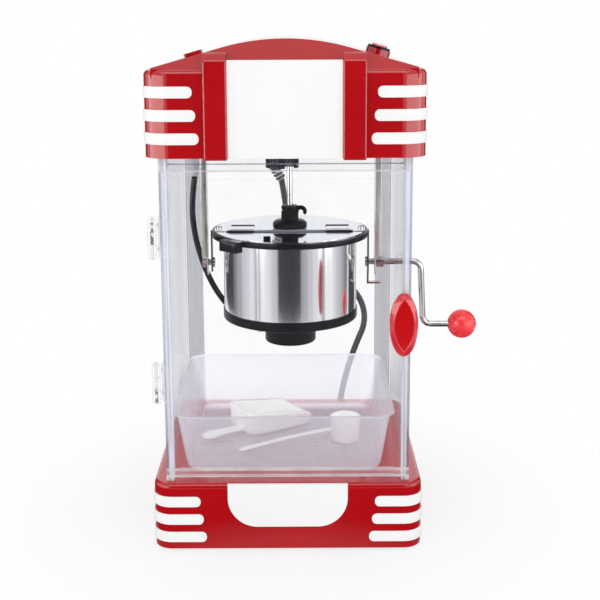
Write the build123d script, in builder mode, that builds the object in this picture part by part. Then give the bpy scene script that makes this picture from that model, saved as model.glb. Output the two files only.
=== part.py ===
"""Table-top popcorn maker: a clear cabinet between a red base and a red roofed cover, with a kettle
that hangs from two strips, is stirred from a geared motor in the cover, and is tipped with a crank.

Millimetres, +Z up, the front faces -Y. The origin is on the standing surface, in the middle of the base.
"""

from build123d import *
from math import cos, pi, radians, sin, tan
import os

os.makedirs("parts", exist_ok=True)

# Housing: base and cover share one footprint
housing_width = 260.0
housing_depth = 245.0
housing_wall = 2.5
foot_height = 2.0
foot_radius = 9.0
foot_inset = 24.0
base_top = 68.0
base_corner = 18.0
base_edge = 4.5
cabinet_rise = 315.0
cover_bottom = base_top + cabinet_rise
cover_side = 80.5
cover_shoulder = cover_bottom + cover_side
cover_corner = 24.0
shoulder_edge = 6.0
lid_plate_gap = 0.3
boss_radius = 4.5
screw_radius = 1.5
screw_clearance = 0.05
screw_hole_gap = 0.2
screw_head = 1.2
screw_reach = 13.0
base_screw_inset = 42.0
cover_screw_inset = 30.0

# Roof: an arch that runs straight down to both shoulders, with sloping front and back gables
roof_rise = 26.5
roof_peak = cover_shoulder + roof_rise
roof_arch_radius = 220.0
roof_pitch = 15.6
roof_inset = 9.0
roof_half_width = housing_width / 2 - roof_inset
gable_inset = 4.5
gable_foot = housing_depth / 2 - gable_inset
gable_slope = 44.0

# Trim
stripe_height = 10.6
stripe_proud = 1.2
stripe_front_run = 60.5
stripe_step = 2.7
cover_stripe_start = 78.2
cover_stripe_lowest = 12.6
cover_stripe_pitch = 21.05
base_stripe_start = 78.6
base_stripe_lowest = 9.1
base_stripe_pitch = 18.05
trim_gap = 0.05
pilaster_centre = 63.1
pilaster_width = 21.2
pilaster_proud = 5.0
pilaster_rise = 14.5
pilaster_top = cover_shoulder + pilaster_rise
pilaster_drop = 1.5
pilaster_root = 16.0
pilaster_bevel = 7.0
sign_rise = 8.0
sign_top = cover_shoulder + sign_rise
sign_proud = 2.6
sign_root = 3.5
panel_half_width = 57.8
panel_bottom = 24.6
panel_corner = 29.0
panel_proud = 0.8
panel_lip = 3.0

# Cabinet
cabinet_side_inset = 12.7
cabinet_half_width = housing_width / 2 - cabinet_side_inset
door_inset = 9.3
cabinet_front = door_inset - housing_depth / 2
rear_inset = 9.8
cabinet_back = housing_depth / 2 - rear_inset
cabinet_wall = 2.2
ceiling_recess = 3.0
ceiling_underside = cover_bottom + ceiling_recess
ceiling_thickness = 2.5
post_thickness = 1.6
rear_post_width = 17.0
rear_post_return = 9.0
front_post_width = 9.0

# Door
door_foot_gap = 3.6
door_bottom = base_top + door_foot_gap
door_head_gap = 12.6
door_top = cover_bottom - door_head_gap
door_thickness = 2.6
door_rail = 8.2
door_rail_depth = 1.6
door_rail_inset = 13.0
door_gap = 0.5
hinge_pin_radius = 1.6
hinge_clearance = 0.08
knuckle_radius = 4.2
knuckle_offset_x = 7.4
knuckle_offset_y = 1.2
lower_hinge_rise = 94.4
upper_hinge_drop = 63.4
hinge_centres = [door_bottom + lower_hinge_rise, door_top - upper_hinge_drop]
hinge_height = 38.0
hinge_pin_overrun = 1.0
hinge_pin_head = 1.4
knuckle_gap = 0.3
leaf_thickness = 2.4
fixed_leaf_width = 17.0
door_leaf_width = 14.0
handle_inset = 7.1
handle_x = cabinet_half_width - handle_inset
handle_rise = 156.4
handle_z = base_top + handle_rise
handle_width = 27.2
handle_height = 61.4
handle_depth = 9.5
handle_bevel = 3.2
handle_facet = 0.8

# Kettle
kettle_x = 2.6
hanger_drop = 126.0
pivot_z = ceiling_underside - hanger_drop
pot_radius = 68.7
pot_wall = 1.0
pot_floor_drop = 50.0
pot_floor = pivot_z - pot_floor_drop
pot_round = 2.5
ring_overhang = 11.8
ring_radius = pot_radius + ring_overhang
ring_rise = 34.5
ring_top = pivot_z + ring_rise
ring_height = 5.5
ring_bottom = ring_top - ring_height
ring_flat_cut = 0.9
ring_flat = ring_radius - ring_flat_cut
ring_skin = 1.5
lid_inset = 3.0
lid_radius = ring_radius - lid_inset
lid_screw_inset = 4.2
lid_screw_reach = lid_radius - lid_screw_inset
lid_thickness = 1.0
flap_axis_y = -19.5
flap_rod_radius = 1.1
flap_gap = 0.5
strap_inner = 37.0
strap_width = 24.0
strap_back = 10.0
strap_thickness = 1.0
strap_slot = 2.2
knob_x = -19.0
knob_inset = 6.0
knob_y = knob_inset - lid_radius
knob_width = 7.0
knob_height = 5.5
grip_angle = 227.0
grip_length = 24.0
grip_depth = 9.0
grip_height = 10.5
base_cup_margin = 0.9
base_cup_radius = pot_radius + base_cup_margin
base_cup_drop = 7.0
base_cup_bottom = pot_floor - base_cup_drop
base_cup_lap = 3.0
base_cup_top = pot_floor + base_cup_lap
heater_radius = 26.5
heater_height = 26.7
heater_bottom = base_cup_bottom - heater_height
heater_wall = 2.0
heater_boot_radius = 6.0
heater_boot_reach = 44.0
heater_boot_rise = 13.7
heater_boot_z = heater_bottom + heater_boot_rise
heater_boot_angle = 150.0
element_ring = 40.0
element_radius = 1.7
element_turn = 330.0
ear_width = 12.0
ear_thickness = 1.8
ear_drop = 9.0
ear_bottom = pivot_z - ear_drop
stop_drop = 14.0
stop_bottom = ear_bottom - stop_drop
stop_reach = 14.0
stop_width = 7.0

# Stirrer and drive
shaft_radius = 2.9
motor_boss_drop = 27.0
motor_boss_bottom = ceiling_underside - motor_boss_drop
shaft_overlap = 0.8
shaft_top = motor_boss_bottom + shaft_overlap
shaft_lift = 0.5
tang_width = 2.0
tang_height = 2.6
tang_clearance = 0.5
neck_radius = 8.8
neck_rise = 25.0
neck_top = ring_top + neck_rise
flange_radius = 17.6
flange_gap = 1.9
flange_bottom = ring_top + flange_gap
flange_height = 7.6
flange_top = flange_bottom + flange_height
flange_bevel = 2.0
bearing_clearance = 0.08
arm_radius = 1.6
arm_lift = 4.6
arm_level = pot_floor + arm_lift
arm_inset = 11.7
arm_reach = pot_radius - arm_inset
arm_tip = 24.0
arm_bend = 9.0
arm_lean = 4.0
claw_reach = 12.6
claw_height = 8.0
claw_width = 5.0
claw_gap = 1.5
hub_radius = 8.7
spindle_radius = 4.2
boss_offset = 7.4
motor_boss_radius = 17.0
boss_groove_rise = 3.6
boss_groove = motor_boss_bottom + boss_groove_rise
boss_rib = 1.0
boss_rib_width = 2.2
boss_ribs = 24
boss_flange = 2.0
boss_skirt = 2.5
boss_peg_x = 8.7
boss_peg_y = 7.0
boss_peg_radius = 2.5
boss_peg_drop = 3.0
socket_rise = 1.2
socket_bottom = motor_boss_bottom + socket_rise
slot_width = 9.0
slot_headroom = 1.4
gear_module = 1.2
gear_teeth = 30
pinion_teeth = 10
gear_thickness = 7.0
gear_lift = 1.0
backlash = 0.5
root_depth = 1.25
root_flank = 18.0
tip_height = 0.85
tip_flank = 24.0
journal_radius = 3.0
motor_shaft_radius = 2.0
case_radius = 28.0
case_wall = 2.5
case_height = 14.0
motor_radius = 22.0
motor_height = 24.0
motor_round = 2.0

# Hangers, crank and pivots
left_hanger_gap = 3.1
left_hanger_x = kettle_x - ring_flat - ear_thickness - left_hanger_gap
right_hanger_gap = 5.9
right_hanger_x = kettle_x + ring_flat + ear_thickness + right_hanger_gap
hanger_web = 1.2
hanger_depth = 6.2
hanger_width = 16.0
hanger_foot = 14.0
hanger_neck = 7.0
hanger_tail = 13.0
hanger_round = 5.0
hanger_hole = 3.5
collar_radius = 5.7
collar_length = 8.0
collar_gap = 0.4
nut_length = 4.4
grub_radius = 2.6
grub_height = 3.2
rod_radius = 3.2
rod_head = 2.0
pin_overrun = 5.0
crank_drop = 67.3
crank_gap = 20.7
crank_out = cabinet_half_width + crank_gap
crank_lean = 3.2
crank_bend = 9.0
ball_radius = 15.0
ball_reach = 44.1
ball_x = crank_out + ball_reach
ball_socket = 9.0
ball_recess = 1.4
bush_radius = 8.5
bush_lip = 1.6
bush_flange = 1.5

# Switch on the right roof slope, vent on the left one
switch_inset = 38.0
switch_x = housing_width / 2 - switch_inset
switch_y = 10.0
switch_boss = 5.0
switch_boss_radius = 12.5
bezel_radius = 11.5
bezel_height = 2.4
bezel_round = 0.8
rocker_radius = 7.9
rocker_height = 4.6
rocker_round = 1.2
rocker_tilt = 8.0
rocker_gap = 1.2
rocker_pin = 1.2
rocker_pivot = 3.0
bezel_sleeve = 12.0
bezel_shelf = 1.5
vent_inset = 47.0
vent_x = vent_inset - housing_width / 2
vent_length = 17.0
vent_height = 3.4
vent_depth = 22.0
vent_root = 1.5
vent_margin = 4.0
vent_pitch = 4.0
vent_slot = 1.6

# Tub and tools
tub_x = -3.9
tub_side_gap = 7.9
tub_half_width = cabinet_half_width - tub_side_gap
tub_end_gap = 18.3
tub_half_depth = housing_depth / 2 - tub_end_gap
tub_side_lean = 13.8
tub_foot_half_width = tub_half_width - tub_side_lean
tub_end_lean = 8.8
tub_foot_half_depth = tub_half_depth - tub_end_lean
tub_height = 60.6
tub_top = base_top + tub_height
tub_wall = 1.4
tub_lip = 4.0
tub_corner = 16.0
tub_gap = 0.3
scoop_inset = 78.5
scoop_x = tub_x - tub_foot_half_width + scoop_inset
scoop_y = 29.0
scoop_heading = 34.0
scoop_wall = 1.3
scoop_length = 76.0
scoop_width = 48.0
scoop_height = 28.0
scoop_corner = 9.0
scoop_flare = 2.0
scoop_lip_level = 7.0
scoop_lip_run = 20.0
scoop_handle = 48.0
scoop_handle_width = 16.0
scoop_handle_level = 3.0
scoop_handle_thickness = 4.0
scoop_end_length = 26.0
scoop_end_width = 20.0
cup_inset = 31.7
cup_x = tub_x + tub_foot_half_width - cup_inset
cup_y = -14.0
cup_radius = 16.0
cup_taper = 2.0
cup_height = 27.0
spoon_inset = 49.5
spoon_end_x = tub_x - tub_foot_half_width + spoon_inset
spoon_end_y = -47.0
spoon_root_level = 12.0
spoon_end_level = 2.6
spoon_handle_width = 8.0
spoon_handle_thickness = 2.2

# Cords
mains_radius = 3.5
kettle_cord_radius = 3.1
run_share = 0.45
coil_x = 18.0
coil_gap = 53.5
coil_y = housing_depth / 2 + coil_gap
coil_mid_radius = 38.0
coil_band = 15.0
coil_height = 14.5
coil_round = 3.0
gland_x = -21.0
gland_rise = 10.0
gland_z = ceiling_underside + gland_rise
gland_radius = 5.0
gland_flange = 6.5
gland_elbow = 8.0
gland_root = 2.0
gland_standoff = 10.5
gland_boot = 6.4
gland_knee = 5.4
boot_wall = 0.6
rear_line_gap = 8.0
rear_line = housing_depth / 2 + rear_line_gap
gate_inset = 19.3
gate_x = gate_inset - cabinet_half_width
gate_y = 37.0
gate_flange = 9.0
gate_flange_height = 2.5
gate_sleeve = 4.1
gate_nut = 7.5
gate_nut_height = 3.0
gate_boot = 6.0
gate_length = 38.5
plug_length = 34.0
plug_width = 22.0
plug_height = 15.0
plug_nose_length = 12.0
plug_round = 4.0
pin_spacing = 12.7
pin_width = 6.3
pin_thickness = 1.5
pin_length = 17.0

base_wall_top = base_top - housing_wall
wall_foot = base_top
ceiling_top = ceiling_underside + ceiling_thickness
inner_half_width = cabinet_half_width - cabinet_wall


def corner_places(inset):
    """Four places, each drawn in by inset from the housing's sides."""
    x = housing_width / 2 - inset
    y = housing_depth / 2 - inset
    return [(side * x, end * y) for side in (-1, 1) for end in (-1, 1)]


foot_places = corner_places(foot_inset)
screw_places = corner_places(base_screw_inset)
cover_screw_places = corner_places(cover_screw_inset)


def stripes(lowest, pitch, first_start, corner):
    """Three raised bands round each front corner, their ends rounded."""
    outer_width = housing_width + 2 * stripe_proud
    outer_depth = housing_depth + 2 * stripe_proud
    inner_width = housing_width + 2 * trim_gap
    inner_depth = housing_depth + 2 * trim_gap
    run = stripe_front_run + 2 * stripe_proud
    middle_y = stripe_front_run - housing_depth / 2 - run / 2
    with BuildPart() as bands:
        for row in range(3):
            for side in (-1, 1):
                start = first_start + row * stripe_step
                reach = housing_width / 2 + 2 * stripe_proud - start
                with BuildSketch(Plane.XY.offset(lowest + row * pitch)):
                    RectangleRounded(outer_width, outer_depth, corner + stripe_proud)
                    RectangleRounded(inner_width, inner_depth, corner + trim_gap, mode=Mode.SUBTRACT)
                    with Locations((side * (start + reach / 2), middle_y)):
                        Rectangle(reach, run, mode=Mode.INTERSECT)
                extrude(amount=stripe_height)
        ends = bands.edges().filter_by(lambda edge: edge.length < 1.2 * stripe_proud)
        fillet(ends, 0.45 * stripe_height)
    return bands.part


def roof_arch(inset):
    """The outline across the roof: an arc with a tangent straight slope to each shoulder."""
    radius = roof_arch_radius - inset
    angle = radians(roof_pitch)
    join_x = radius * sin(angle)
    join_z = roof_peak - roof_arch_radius + radius * cos(angle)
    foot_x = roof_half_width - inset
    foot_z = join_z - (foot_x - join_x) * tan(angle)
    root_z = cover_shoulder - shoulder_edge - inset - 2
    with BuildSketch() as arch:
        with BuildLine():
            ThreePointArc((-join_x, join_z), (0, roof_peak - inset), (join_x, join_z))
            Polyline(
                (join_x, join_z),
                (foot_x, foot_z),
                (foot_x, root_z),
                (-foot_x, root_z),
                (-foot_x, foot_z),
                (-join_x, join_z),
            )
        make_face()
    return arch.sketch


def roof_height(x):
    """The height of the roof's outer surface at x, on its straight slope."""
    angle = radians(roof_pitch)
    join_x = roof_arch_radius * sin(angle)
    join_z = roof_peak - roof_arch_radius + roof_arch_radius * cos(angle)
    return join_z - (abs(x) - join_x) * tan(angle)


def cover_block(inset):
    """The cover as a full block: a rounded box with the arched roof on it, drawn in by inset."""
    slope = radians(gable_slope)
    foot = gable_foot - inset / sin(slope)
    shoulder = cover_shoulder - inset
    rise = roof_peak - cover_shoulder + 20
    with BuildPart() as roof:
        with BuildSketch(Plane.XZ.offset(foot)):
            add(roof_arch(inset))
        extrude(amount=-2 * foot)
        for side in (-1, 1):
            with BuildSketch(Plane.YZ.offset(-roof_half_width)):
                with BuildLine():
                    Polyline(
                        (side * foot, cover_shoulder),
                        (side * (foot - rise / tan(slope)), cover_shoulder + rise),
                        (side * (foot + 20), cover_shoulder + rise),
                        (side * (foot + 20), cover_shoulder),
                        close=True,
                    )
                make_face()
            extrude(amount=2 * roof_half_width, mode=Mode.SUBTRACT)
    with BuildPart() as block:
        with BuildSketch(Plane.XY.offset(cover_bottom)):
            RectangleRounded(housing_width - 2 * inset, housing_depth - 2 * inset, cover_corner - inset)
        extrude(amount=shoulder - cover_bottom)
        fillet(block.faces().sort_by(Axis.Z)[-1].outer_wire().edges(), max(shoulder_edge - inset, 0.5))
        add(roof.part)
    return block.part


def half_moon(grow):
    """The base panel's outline: straight sides and wide bottom corners, up to the deck's level."""
    half = panel_half_width + grow
    bottom = panel_bottom - grow
    corner = panel_corner + grow
    with BuildSketch() as moon:
        with BuildLine():
            FilletPolyline(
                (half, base_top), (half, bottom), (-half, bottom), (-half, base_top), radius=corner
            )
            Line((-half, base_top), (half, base_top))
        make_face()
    return moon.sketch


# ---- Base ----
with BuildPart() as base_housing:
    with BuildSketch(Plane.XY.offset(foot_height)):
        RectangleRounded(housing_width, housing_depth, base_corner)
    extrude(amount=base_top - foot_height)
    fillet(base_housing.faces().sort_by(Axis.Z)[-1].outer_wire().edges(), base_edge)
    with BuildSketch(Plane.XY.offset(foot_height)):
        RectangleRounded(
            housing_width - 2 * housing_wall, housing_depth - 2 * housing_wall, base_corner - housing_wall
        )
    extrude(amount=base_wall_top - foot_height, mode=Mode.SUBTRACT)
    with BuildSketch(Plane.XY.offset(foot_height + housing_wall)):
        with Locations(screw_places):
            Circle(boss_radius)
    extrude(amount=base_wall_top - foot_height - housing_wall)
    with BuildSketch(Plane.XZ.offset(housing_depth / 2)):
        add(half_moon(trim_gap))
    extrude(amount=-housing_wall, mode=Mode.SUBTRACT)
    with BuildSketch(Plane.XY.offset(foot_height + housing_wall)):
        with Locations(screw_places):
            Circle(screw_radius + screw_clearance)
    extrude(amount=screw_reach + 1, mode=Mode.SUBTRACT)
base_housing.part.label = "base_housing"
export_step(base_housing.part, "parts/base_housing.step")

with BuildPart() as base_panel:
    with BuildSketch(Plane.XZ.offset(housing_depth / 2 + panel_proud)):
        add(half_moon(0))
    extrude(amount=-(housing_wall + panel_proud))
    with BuildSketch(Plane.XZ.offset(housing_depth / 2 - housing_wall)):
        add(half_moon(panel_lip))
    extrude(amount=-housing_wall / 2)
    with BuildSketch(Plane.XY.offset(base_wall_top - trim_gap)):
        with Locations((0, -housing_depth / 2 + 3 * housing_wall)):
            Rectangle(housing_width, 4 * housing_wall)
    extrude(amount=base_top - base_wall_top + panel_lip + trim_gap, mode=Mode.SUBTRACT)
base_panel.part.label = "base_panel"
export_step(base_panel.part, "parts/base_panel.step")

with BuildPart() as base_stripes:
    add(stripes(base_stripe_lowest, base_stripe_pitch, base_stripe_start, base_corner))
base_stripes.part.label = "base_stripes"
export_step(base_stripes.part, "parts/base_stripes.step")

with BuildPart() as base_plate:
    with BuildSketch(Plane.XY.offset(foot_height)):
        RectangleRounded(
            housing_width - 2 * housing_wall - 2 * lid_plate_gap,
            housing_depth - 2 * housing_wall - 2 * lid_plate_gap,
            base_corner - housing_wall - lid_plate_gap,
        )
    extrude(amount=housing_wall)
    with BuildSketch(Plane.XY.offset(foot_height)):
        with Locations(screw_places):
            Circle(2 * screw_radius + screw_hole_gap)
    extrude(amount=screw_head + screw_hole_gap, mode=Mode.SUBTRACT)
    with BuildSketch(Plane.XY.offset(foot_height)):
        with Locations(screw_places):
            Circle(screw_radius + screw_hole_gap)
    extrude(amount=housing_wall, mode=Mode.SUBTRACT)
base_plate.part.label = "base_plate"
export_step(base_plate.part, "parts/base_plate.step")

with BuildPart() as case_screws:
    for level, places in (
        (foot_height + screw_clearance, screw_places),
        (ceiling_underside - screw_head - screw_clearance, cover_screw_places),
    ):
        with BuildSketch(Plane.XY.offset(level)):
            with Locations(places):
                Circle(2 * screw_radius)
        extrude(amount=screw_head)
        with BuildSketch(Plane.XY.offset(level)):
            with Locations(places):
                Circle(screw_radius)
        extrude(amount=screw_reach)
case_screws.part.label = "case_screws"
export_step(case_screws.part, "parts/case_screws.step")

with BuildPart() as rubber_feet:
    with BuildSketch():
        with Locations(foot_places):
            Circle(foot_radius)
    extrude(amount=foot_height)
    chamfer(rubber_feet.edges().group_by(Axis.Z)[0], 0.3 * foot_height)
rubber_feet.part.label = "rubber_feet"
export_step(rubber_feet.part, "parts/rubber_feet.step")

# ---- Clear cabinet ----
wall_height = ceiling_underside - wall_foot
side_length = cabinet_back - cabinet_front - door_thickness - door_gap
side_centre_y = cabinet_back - side_length / 2
bush_hole = bush_radius - bush_lip + 0.1

for side, label in ((-1, "left_wall"), (1, "right_wall")):
    with BuildPart() as side_wall:
        with BuildSketch(Plane.XY.offset(wall_foot)):
            with Locations((side * (cabinet_half_width - cabinet_wall / 2), side_centre_y)):
                Rectangle(cabinet_wall, side_length)
        extrude(amount=wall_height)
        if side > 0:
            with BuildSketch(Plane.YZ.offset(inner_half_width)):
                with Locations((0, pivot_z)):
                    Circle(bush_hole + trim_gap)
            extrude(amount=cabinet_wall, mode=Mode.SUBTRACT)
    side_wall.part.label = label
    export_step(side_wall.part, f"parts/{label}.step")

with BuildPart() as rear_wall:
    with BuildSketch(Plane.XY.offset(wall_foot)):
        with Locations((0, cabinet_back - cabinet_wall / 2)):
            Rectangle(2 * inner_half_width, cabinet_wall)
    extrude(amount=wall_height)
rear_wall.part.label = "rear_wall"
export_step(rear_wall.part, "parts/rear_wall.step")

post_edge = inner_half_width - trim_gap
rear_face = cabinet_back - cabinet_wall - trim_gap
front_face = cabinet_back - side_length + 2 * trim_gap
with BuildPart() as frame_posts:
    for side in (-1, 1):
        with BuildSketch(Plane.XY.offset(wall_foot)):
            with Locations((side * (post_edge - rear_post_width / 2), rear_face - post_thickness / 2)):
                Rectangle(rear_post_width, post_thickness)
            with Locations((side * (post_edge - post_thickness / 2), rear_face - rear_post_return / 2)):
                Rectangle(post_thickness, rear_post_return)
            with Locations((side * (post_edge - front_post_width / 2), front_face + post_thickness / 2)):
                Rectangle(front_post_width, post_thickness)
            with Locations((side * (post_edge - post_thickness / 2), front_face + front_post_width / 2)):
                Rectangle(post_thickness, front_post_width)
        extrude(amount=wall_height)
    with BuildSketch(Plane.XY.offset(door_top + door_gap)):
        with Locations((0, cabinet_front + door_thickness / 2)):
            Rectangle(2 * cabinet_half_width, door_thickness)
    extrude(amount=ceiling_underside - door_top - door_gap)
    with BuildSketch(Plane.XY.offset(wall_foot)):
        with Locations((0, cabinet_front + door_thickness / 2)):
            Rectangle(2 * cabinet_half_width, door_thickness)
    extrude(amount=door_bottom - door_gap - wall_foot)
frame_posts.part.label = "frame_posts"
export_step(frame_posts.part, "parts/frame_posts.step")

# ---- Door, its hinges and handle ----
hinge_x = -cabinet_half_width - knuckle_offset_x
hinge_y = cabinet_front + knuckle_offset_y
leaf_reach = knuckle_offset_x - trim_gap
fixed_leaf_y = hinge_y + knuckle_radius - 1.5 + fixed_leaf_width / 2

with BuildPart() as door_panel:
    with BuildSketch(Plane.XZ.offset(-cabinet_front)):
        with Locations((0, (door_bottom + door_top) / 2)):
            Rectangle(2 * cabinet_half_width, door_top - door_bottom)
    extrude(amount=-door_thickness)
    with BuildSketch(Plane.XZ.offset(-cabinet_front - door_thickness)):
        for rail in (door_bottom + door_rail / 2, door_top - door_rail / 2):
            with Locations((0, rail)):
                Rectangle(2 * (cabinet_half_width - door_rail_inset), door_rail)
    extrude(amount=-door_rail_depth)
door_panel.part.label = "door_panel"
export_step(door_panel.part, "parts/door_panel.step")


def knuckles(centre, fixed):
    """One hinge's knuckles: the fixed leaf has the middle one and the door's leaf the outer two."""
    third = hinge_height / 3
    leaf_x = hinge_x + leaf_reach / 2
    lows = [centre - third / 2] if fixed else [centre - 1.5 * third, centre + third / 2]
    side = 1 if fixed else -1
    with BuildPart() as barrel:
        for low in lows:
            with BuildSketch(Plane.XY.offset(low + knuckle_gap / 2)):
                with Locations((hinge_x, hinge_y)):
                    Circle(knuckle_radius)
                with Locations((leaf_x, hinge_y + side * (knuckle_radius - leaf_thickness / 2))):
                    Rectangle(leaf_reach, leaf_thickness)
                with Locations((hinge_x, hinge_y)):
                    Circle(hinge_pin_radius + hinge_clearance, mode=Mode.SUBTRACT)
            extrude(amount=third - knuckle_gap)
    return barrel.part


with BuildPart() as fixed_hinge_leaves:
    for centre in hinge_centres:
        add(knuckles(centre, True))
        with BuildSketch(Plane.XY.offset(centre - hinge_height / 2)):
            with Locations((-cabinet_half_width - leaf_thickness / 2 - trim_gap, fixed_leaf_y)):
                Rectangle(leaf_thickness, fixed_leaf_width)
        extrude(amount=hinge_height)
fixed_hinge_leaves.part.label = "fixed_hinge_leaves"
export_step(fixed_hinge_leaves.part, "parts/fixed_hinge_leaves.step")

pad_y = cabinet_front - trim_gap - leaf_thickness / 2
with BuildPart() as door_hinge_leaves:
    for centre in hinge_centres:
        add(knuckles(centre, False))
        with BuildSketch(Plane.XY.offset(centre - hinge_height / 2)):
            with Locations((-cabinet_half_width - 1 + door_leaf_width / 2, pad_y)):
                Rectangle(door_leaf_width, leaf_thickness)
        extrude(amount=hinge_height)
door_hinge_leaves.part.label = "door_hinge_leaves"
export_step(door_hinge_leaves.part, "parts/door_hinge_leaves.step")

with BuildPart() as hinge_pins:
    for centre in hinge_centres:
        with BuildSketch(Plane.XY.offset(centre - hinge_height / 2 - hinge_pin_overrun)):
            with Locations((hinge_x, hinge_y)):
                Circle(hinge_pin_radius)
        extrude(amount=hinge_height + 2 * hinge_pin_overrun)
        with BuildSketch(Plane.XY.offset(centre + hinge_height / 2 + knuckle_gap)):
            with Locations((hinge_x, hinge_y)):
                Circle(1.6 * hinge_pin_radius)
        extrude(amount=hinge_pin_head)
hinge_pins.part.label = "hinge_pins"
export_step(hinge_pins.part, "parts/hinge_pins.step")

with BuildPart() as door_handle:
    with BuildSketch(Plane.XZ.offset(-cabinet_front + trim_gap)):
        with Locations((handle_x, handle_z)):
            Ellipse(handle_width / 2, handle_height / 2)
    extrude(amount=handle_depth)
    chamfer(door_handle.edges().group_by(Axis.Y)[0], handle_bevel)
    facet = handle_height / 2 - 1.25 * handle_bevel
    bulge = handle_width / 2 - 1.4 * handle_bevel
    with BuildSketch(Plane.XZ.offset(-cabinet_front + trim_gap + handle_depth)):
        with Locations((handle_x, handle_z)):
            with BuildLine():
                ThreePointArc((0, -facet), (bulge, 0), (0, facet))
                ThreePointArc((0, facet), (-bulge, 0), (0, -facet))
            make_face()
    extrude(amount=-handle_facet, mode=Mode.SUBTRACT)
door_handle.part.label = "door_handle"
export_step(door_handle.part, "parts/door_handle.step")

# ---- Cover, its trim and what it holds ----
slope_angle = radians(roof_pitch)
switch_normal = (sin(slope_angle), 0, cos(slope_angle))
switch_along = (cos(slope_angle), 0, -sin(slope_angle))
switch_foot = Vector(switch_x, switch_y, roof_height(switch_x))
switch_seat = switch_foot + Vector(*switch_normal) * switch_boss
solid_cover = cover_block(0)
hollow_cover = cover_block(housing_wall)
trim_cover = cover_block(-trim_gap)
switch_plane = Plane(origin=switch_seat, x_dir=switch_along, z_dir=switch_normal)
boss_top = roof_height(housing_width / 2 - cover_screw_inset) - 0.6 * housing_wall

with BuildPart() as cover_housing:
    add(solid_cover)
    with BuildSketch(switch_plane):
        Circle(switch_boss_radius)
    extrude(amount=-switch_boss - housing_wall / 2)
    add(hollow_cover, mode=Mode.SUBTRACT)
    with BuildSketch(switch_plane):
        Circle(bezel_radius - bezel_shelf + trim_gap)
    extrude(amount=-switch_boss - 4 * housing_wall, mode=Mode.SUBTRACT)
    with BuildSketch(Plane.XY.offset(ceiling_top)):
        with Locations(cover_screw_places):
            Circle(boss_radius)
    extrude(amount=boss_top - ceiling_top)
    with BuildSketch(Plane.XY.offset(ceiling_top)):
        with Locations(cover_screw_places):
            Circle(screw_radius + screw_clearance)
    extrude(amount=screw_reach + 1, mode=Mode.SUBTRACT)
    with BuildSketch(Plane.XZ.offset(-housing_depth / 2)):
        with Locations((gland_x, gland_z)):
            Circle(gland_radius + 2 * trim_gap)
    extrude(amount=housing_wall, mode=Mode.SUBTRACT)
cover_housing.part.label = "cover_housing"
export_step(cover_housing.part, "parts/cover_housing.step")

with BuildPart() as cover_stripes:
    lowest_stripe = cover_bottom + cover_stripe_lowest
    add(stripes(lowest_stripe, cover_stripe_pitch, cover_stripe_start, cover_corner))
cover_stripes.part.label = "cover_stripes"
export_step(cover_stripes.part, "parts/cover_stripes.step")

pilaster_face = -housing_depth / 2 - pilaster_proud
pilaster_bottom = cover_bottom - pilaster_drop
with BuildPart() as pilasters:
    for side in (-1, 1):
        with BuildSketch(Plane.YZ.offset(side * pilaster_centre - pilaster_width / 2)):
            with BuildLine():
                Polyline(
                    (pilaster_face, pilaster_bottom),
                    (pilaster_face, pilaster_top - pilaster_bevel),
                    (pilaster_face + pilaster_bevel, pilaster_top),
                    (pilaster_root - gable_foot, pilaster_top),
                    (pilaster_root - gable_foot, cover_bottom),
                    (-housing_depth / 2, cover_bottom),
                    (-housing_depth / 2, pilaster_bottom),
                    close=True,
                )
            make_face()
        extrude(amount=pilaster_width)
    add(trim_cover, mode=Mode.SUBTRACT)
pilasters.part.label = "pilasters"
export_step(pilasters.part, "parts/pilasters.step")

with BuildPart() as sign_panel:
    with BuildSketch(Plane.XZ.offset(housing_depth / 2 + sign_proud)):
        with Locations((0, (cover_bottom + sign_top) / 2)):
            Rectangle(2 * (pilaster_centre - pilaster_width / 2 - 2 * trim_gap), sign_top - cover_bottom)
    extrude(amount=-(sign_proud + sign_root))
    add(trim_cover, mode=Mode.SUBTRACT)
sign_panel.part.label = "sign_panel"
export_step(sign_panel.part, "parts/sign_panel.step")

vent_foot = Vector(vent_x, vent_depth + vent_margin - gable_foot, roof_height(vent_x) - vent_root)
vent_plane = Plane(
    origin=vent_foot,
    x_dir=(cos(slope_angle), 0, sin(slope_angle)),
    z_dir=(-sin(slope_angle), 0, cos(slope_angle)),
)
with BuildPart() as roof_vent:
    with BuildSketch(vent_plane):
        RectangleRounded(vent_length, vent_depth, vent_slot)
        with GridLocations(vent_length, vent_pitch, 1, 4):
            SlotOverall(vent_length - 3 * vent_slot, vent_slot, mode=Mode.SUBTRACT)
    extrude(amount=vent_height + vent_root)
    add(trim_cover, mode=Mode.SUBTRACT)
roof_vent.part.label = "roof_vent"
export_step(roof_vent.part, "parts/roof_vent.step")

motor_boss_x = kettle_x - boss_offset
with BuildPart() as ceiling_plate:
    with BuildSketch(Plane.XY.offset(ceiling_underside)):
        RectangleRounded(
            housing_width - 2 * housing_wall - 2 * lid_plate_gap,
            housing_depth - 2 * housing_wall - 2 * lid_plate_gap,
            cover_corner - housing_wall - lid_plate_gap,
        )
        with Locations((motor_boss_x, 0)):
            Circle(motor_boss_radius + lid_plate_gap, mode=Mode.SUBTRACT)
        with Locations((gate_x, gate_y)):
            Circle(gate_sleeve + 2 * trim_gap, mode=Mode.SUBTRACT)
        with Locations(cover_screw_places):
            Circle(screw_radius + screw_hole_gap, mode=Mode.SUBTRACT)
    extrude(amount=ceiling_thickness)
ceiling_plate.part.label = "ceiling_plate"
export_step(ceiling_plate.part, "parts/ceiling_plate.step")

# ---- Switch ----
bezel_bore = rocker_radius + rocker_gap
pivot_point = switch_seat - Vector(*switch_normal) * rocker_pivot
pin_plane = Plane(origin=pivot_point, x_dir=(0, 1, 0), z_dir=switch_along)

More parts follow.
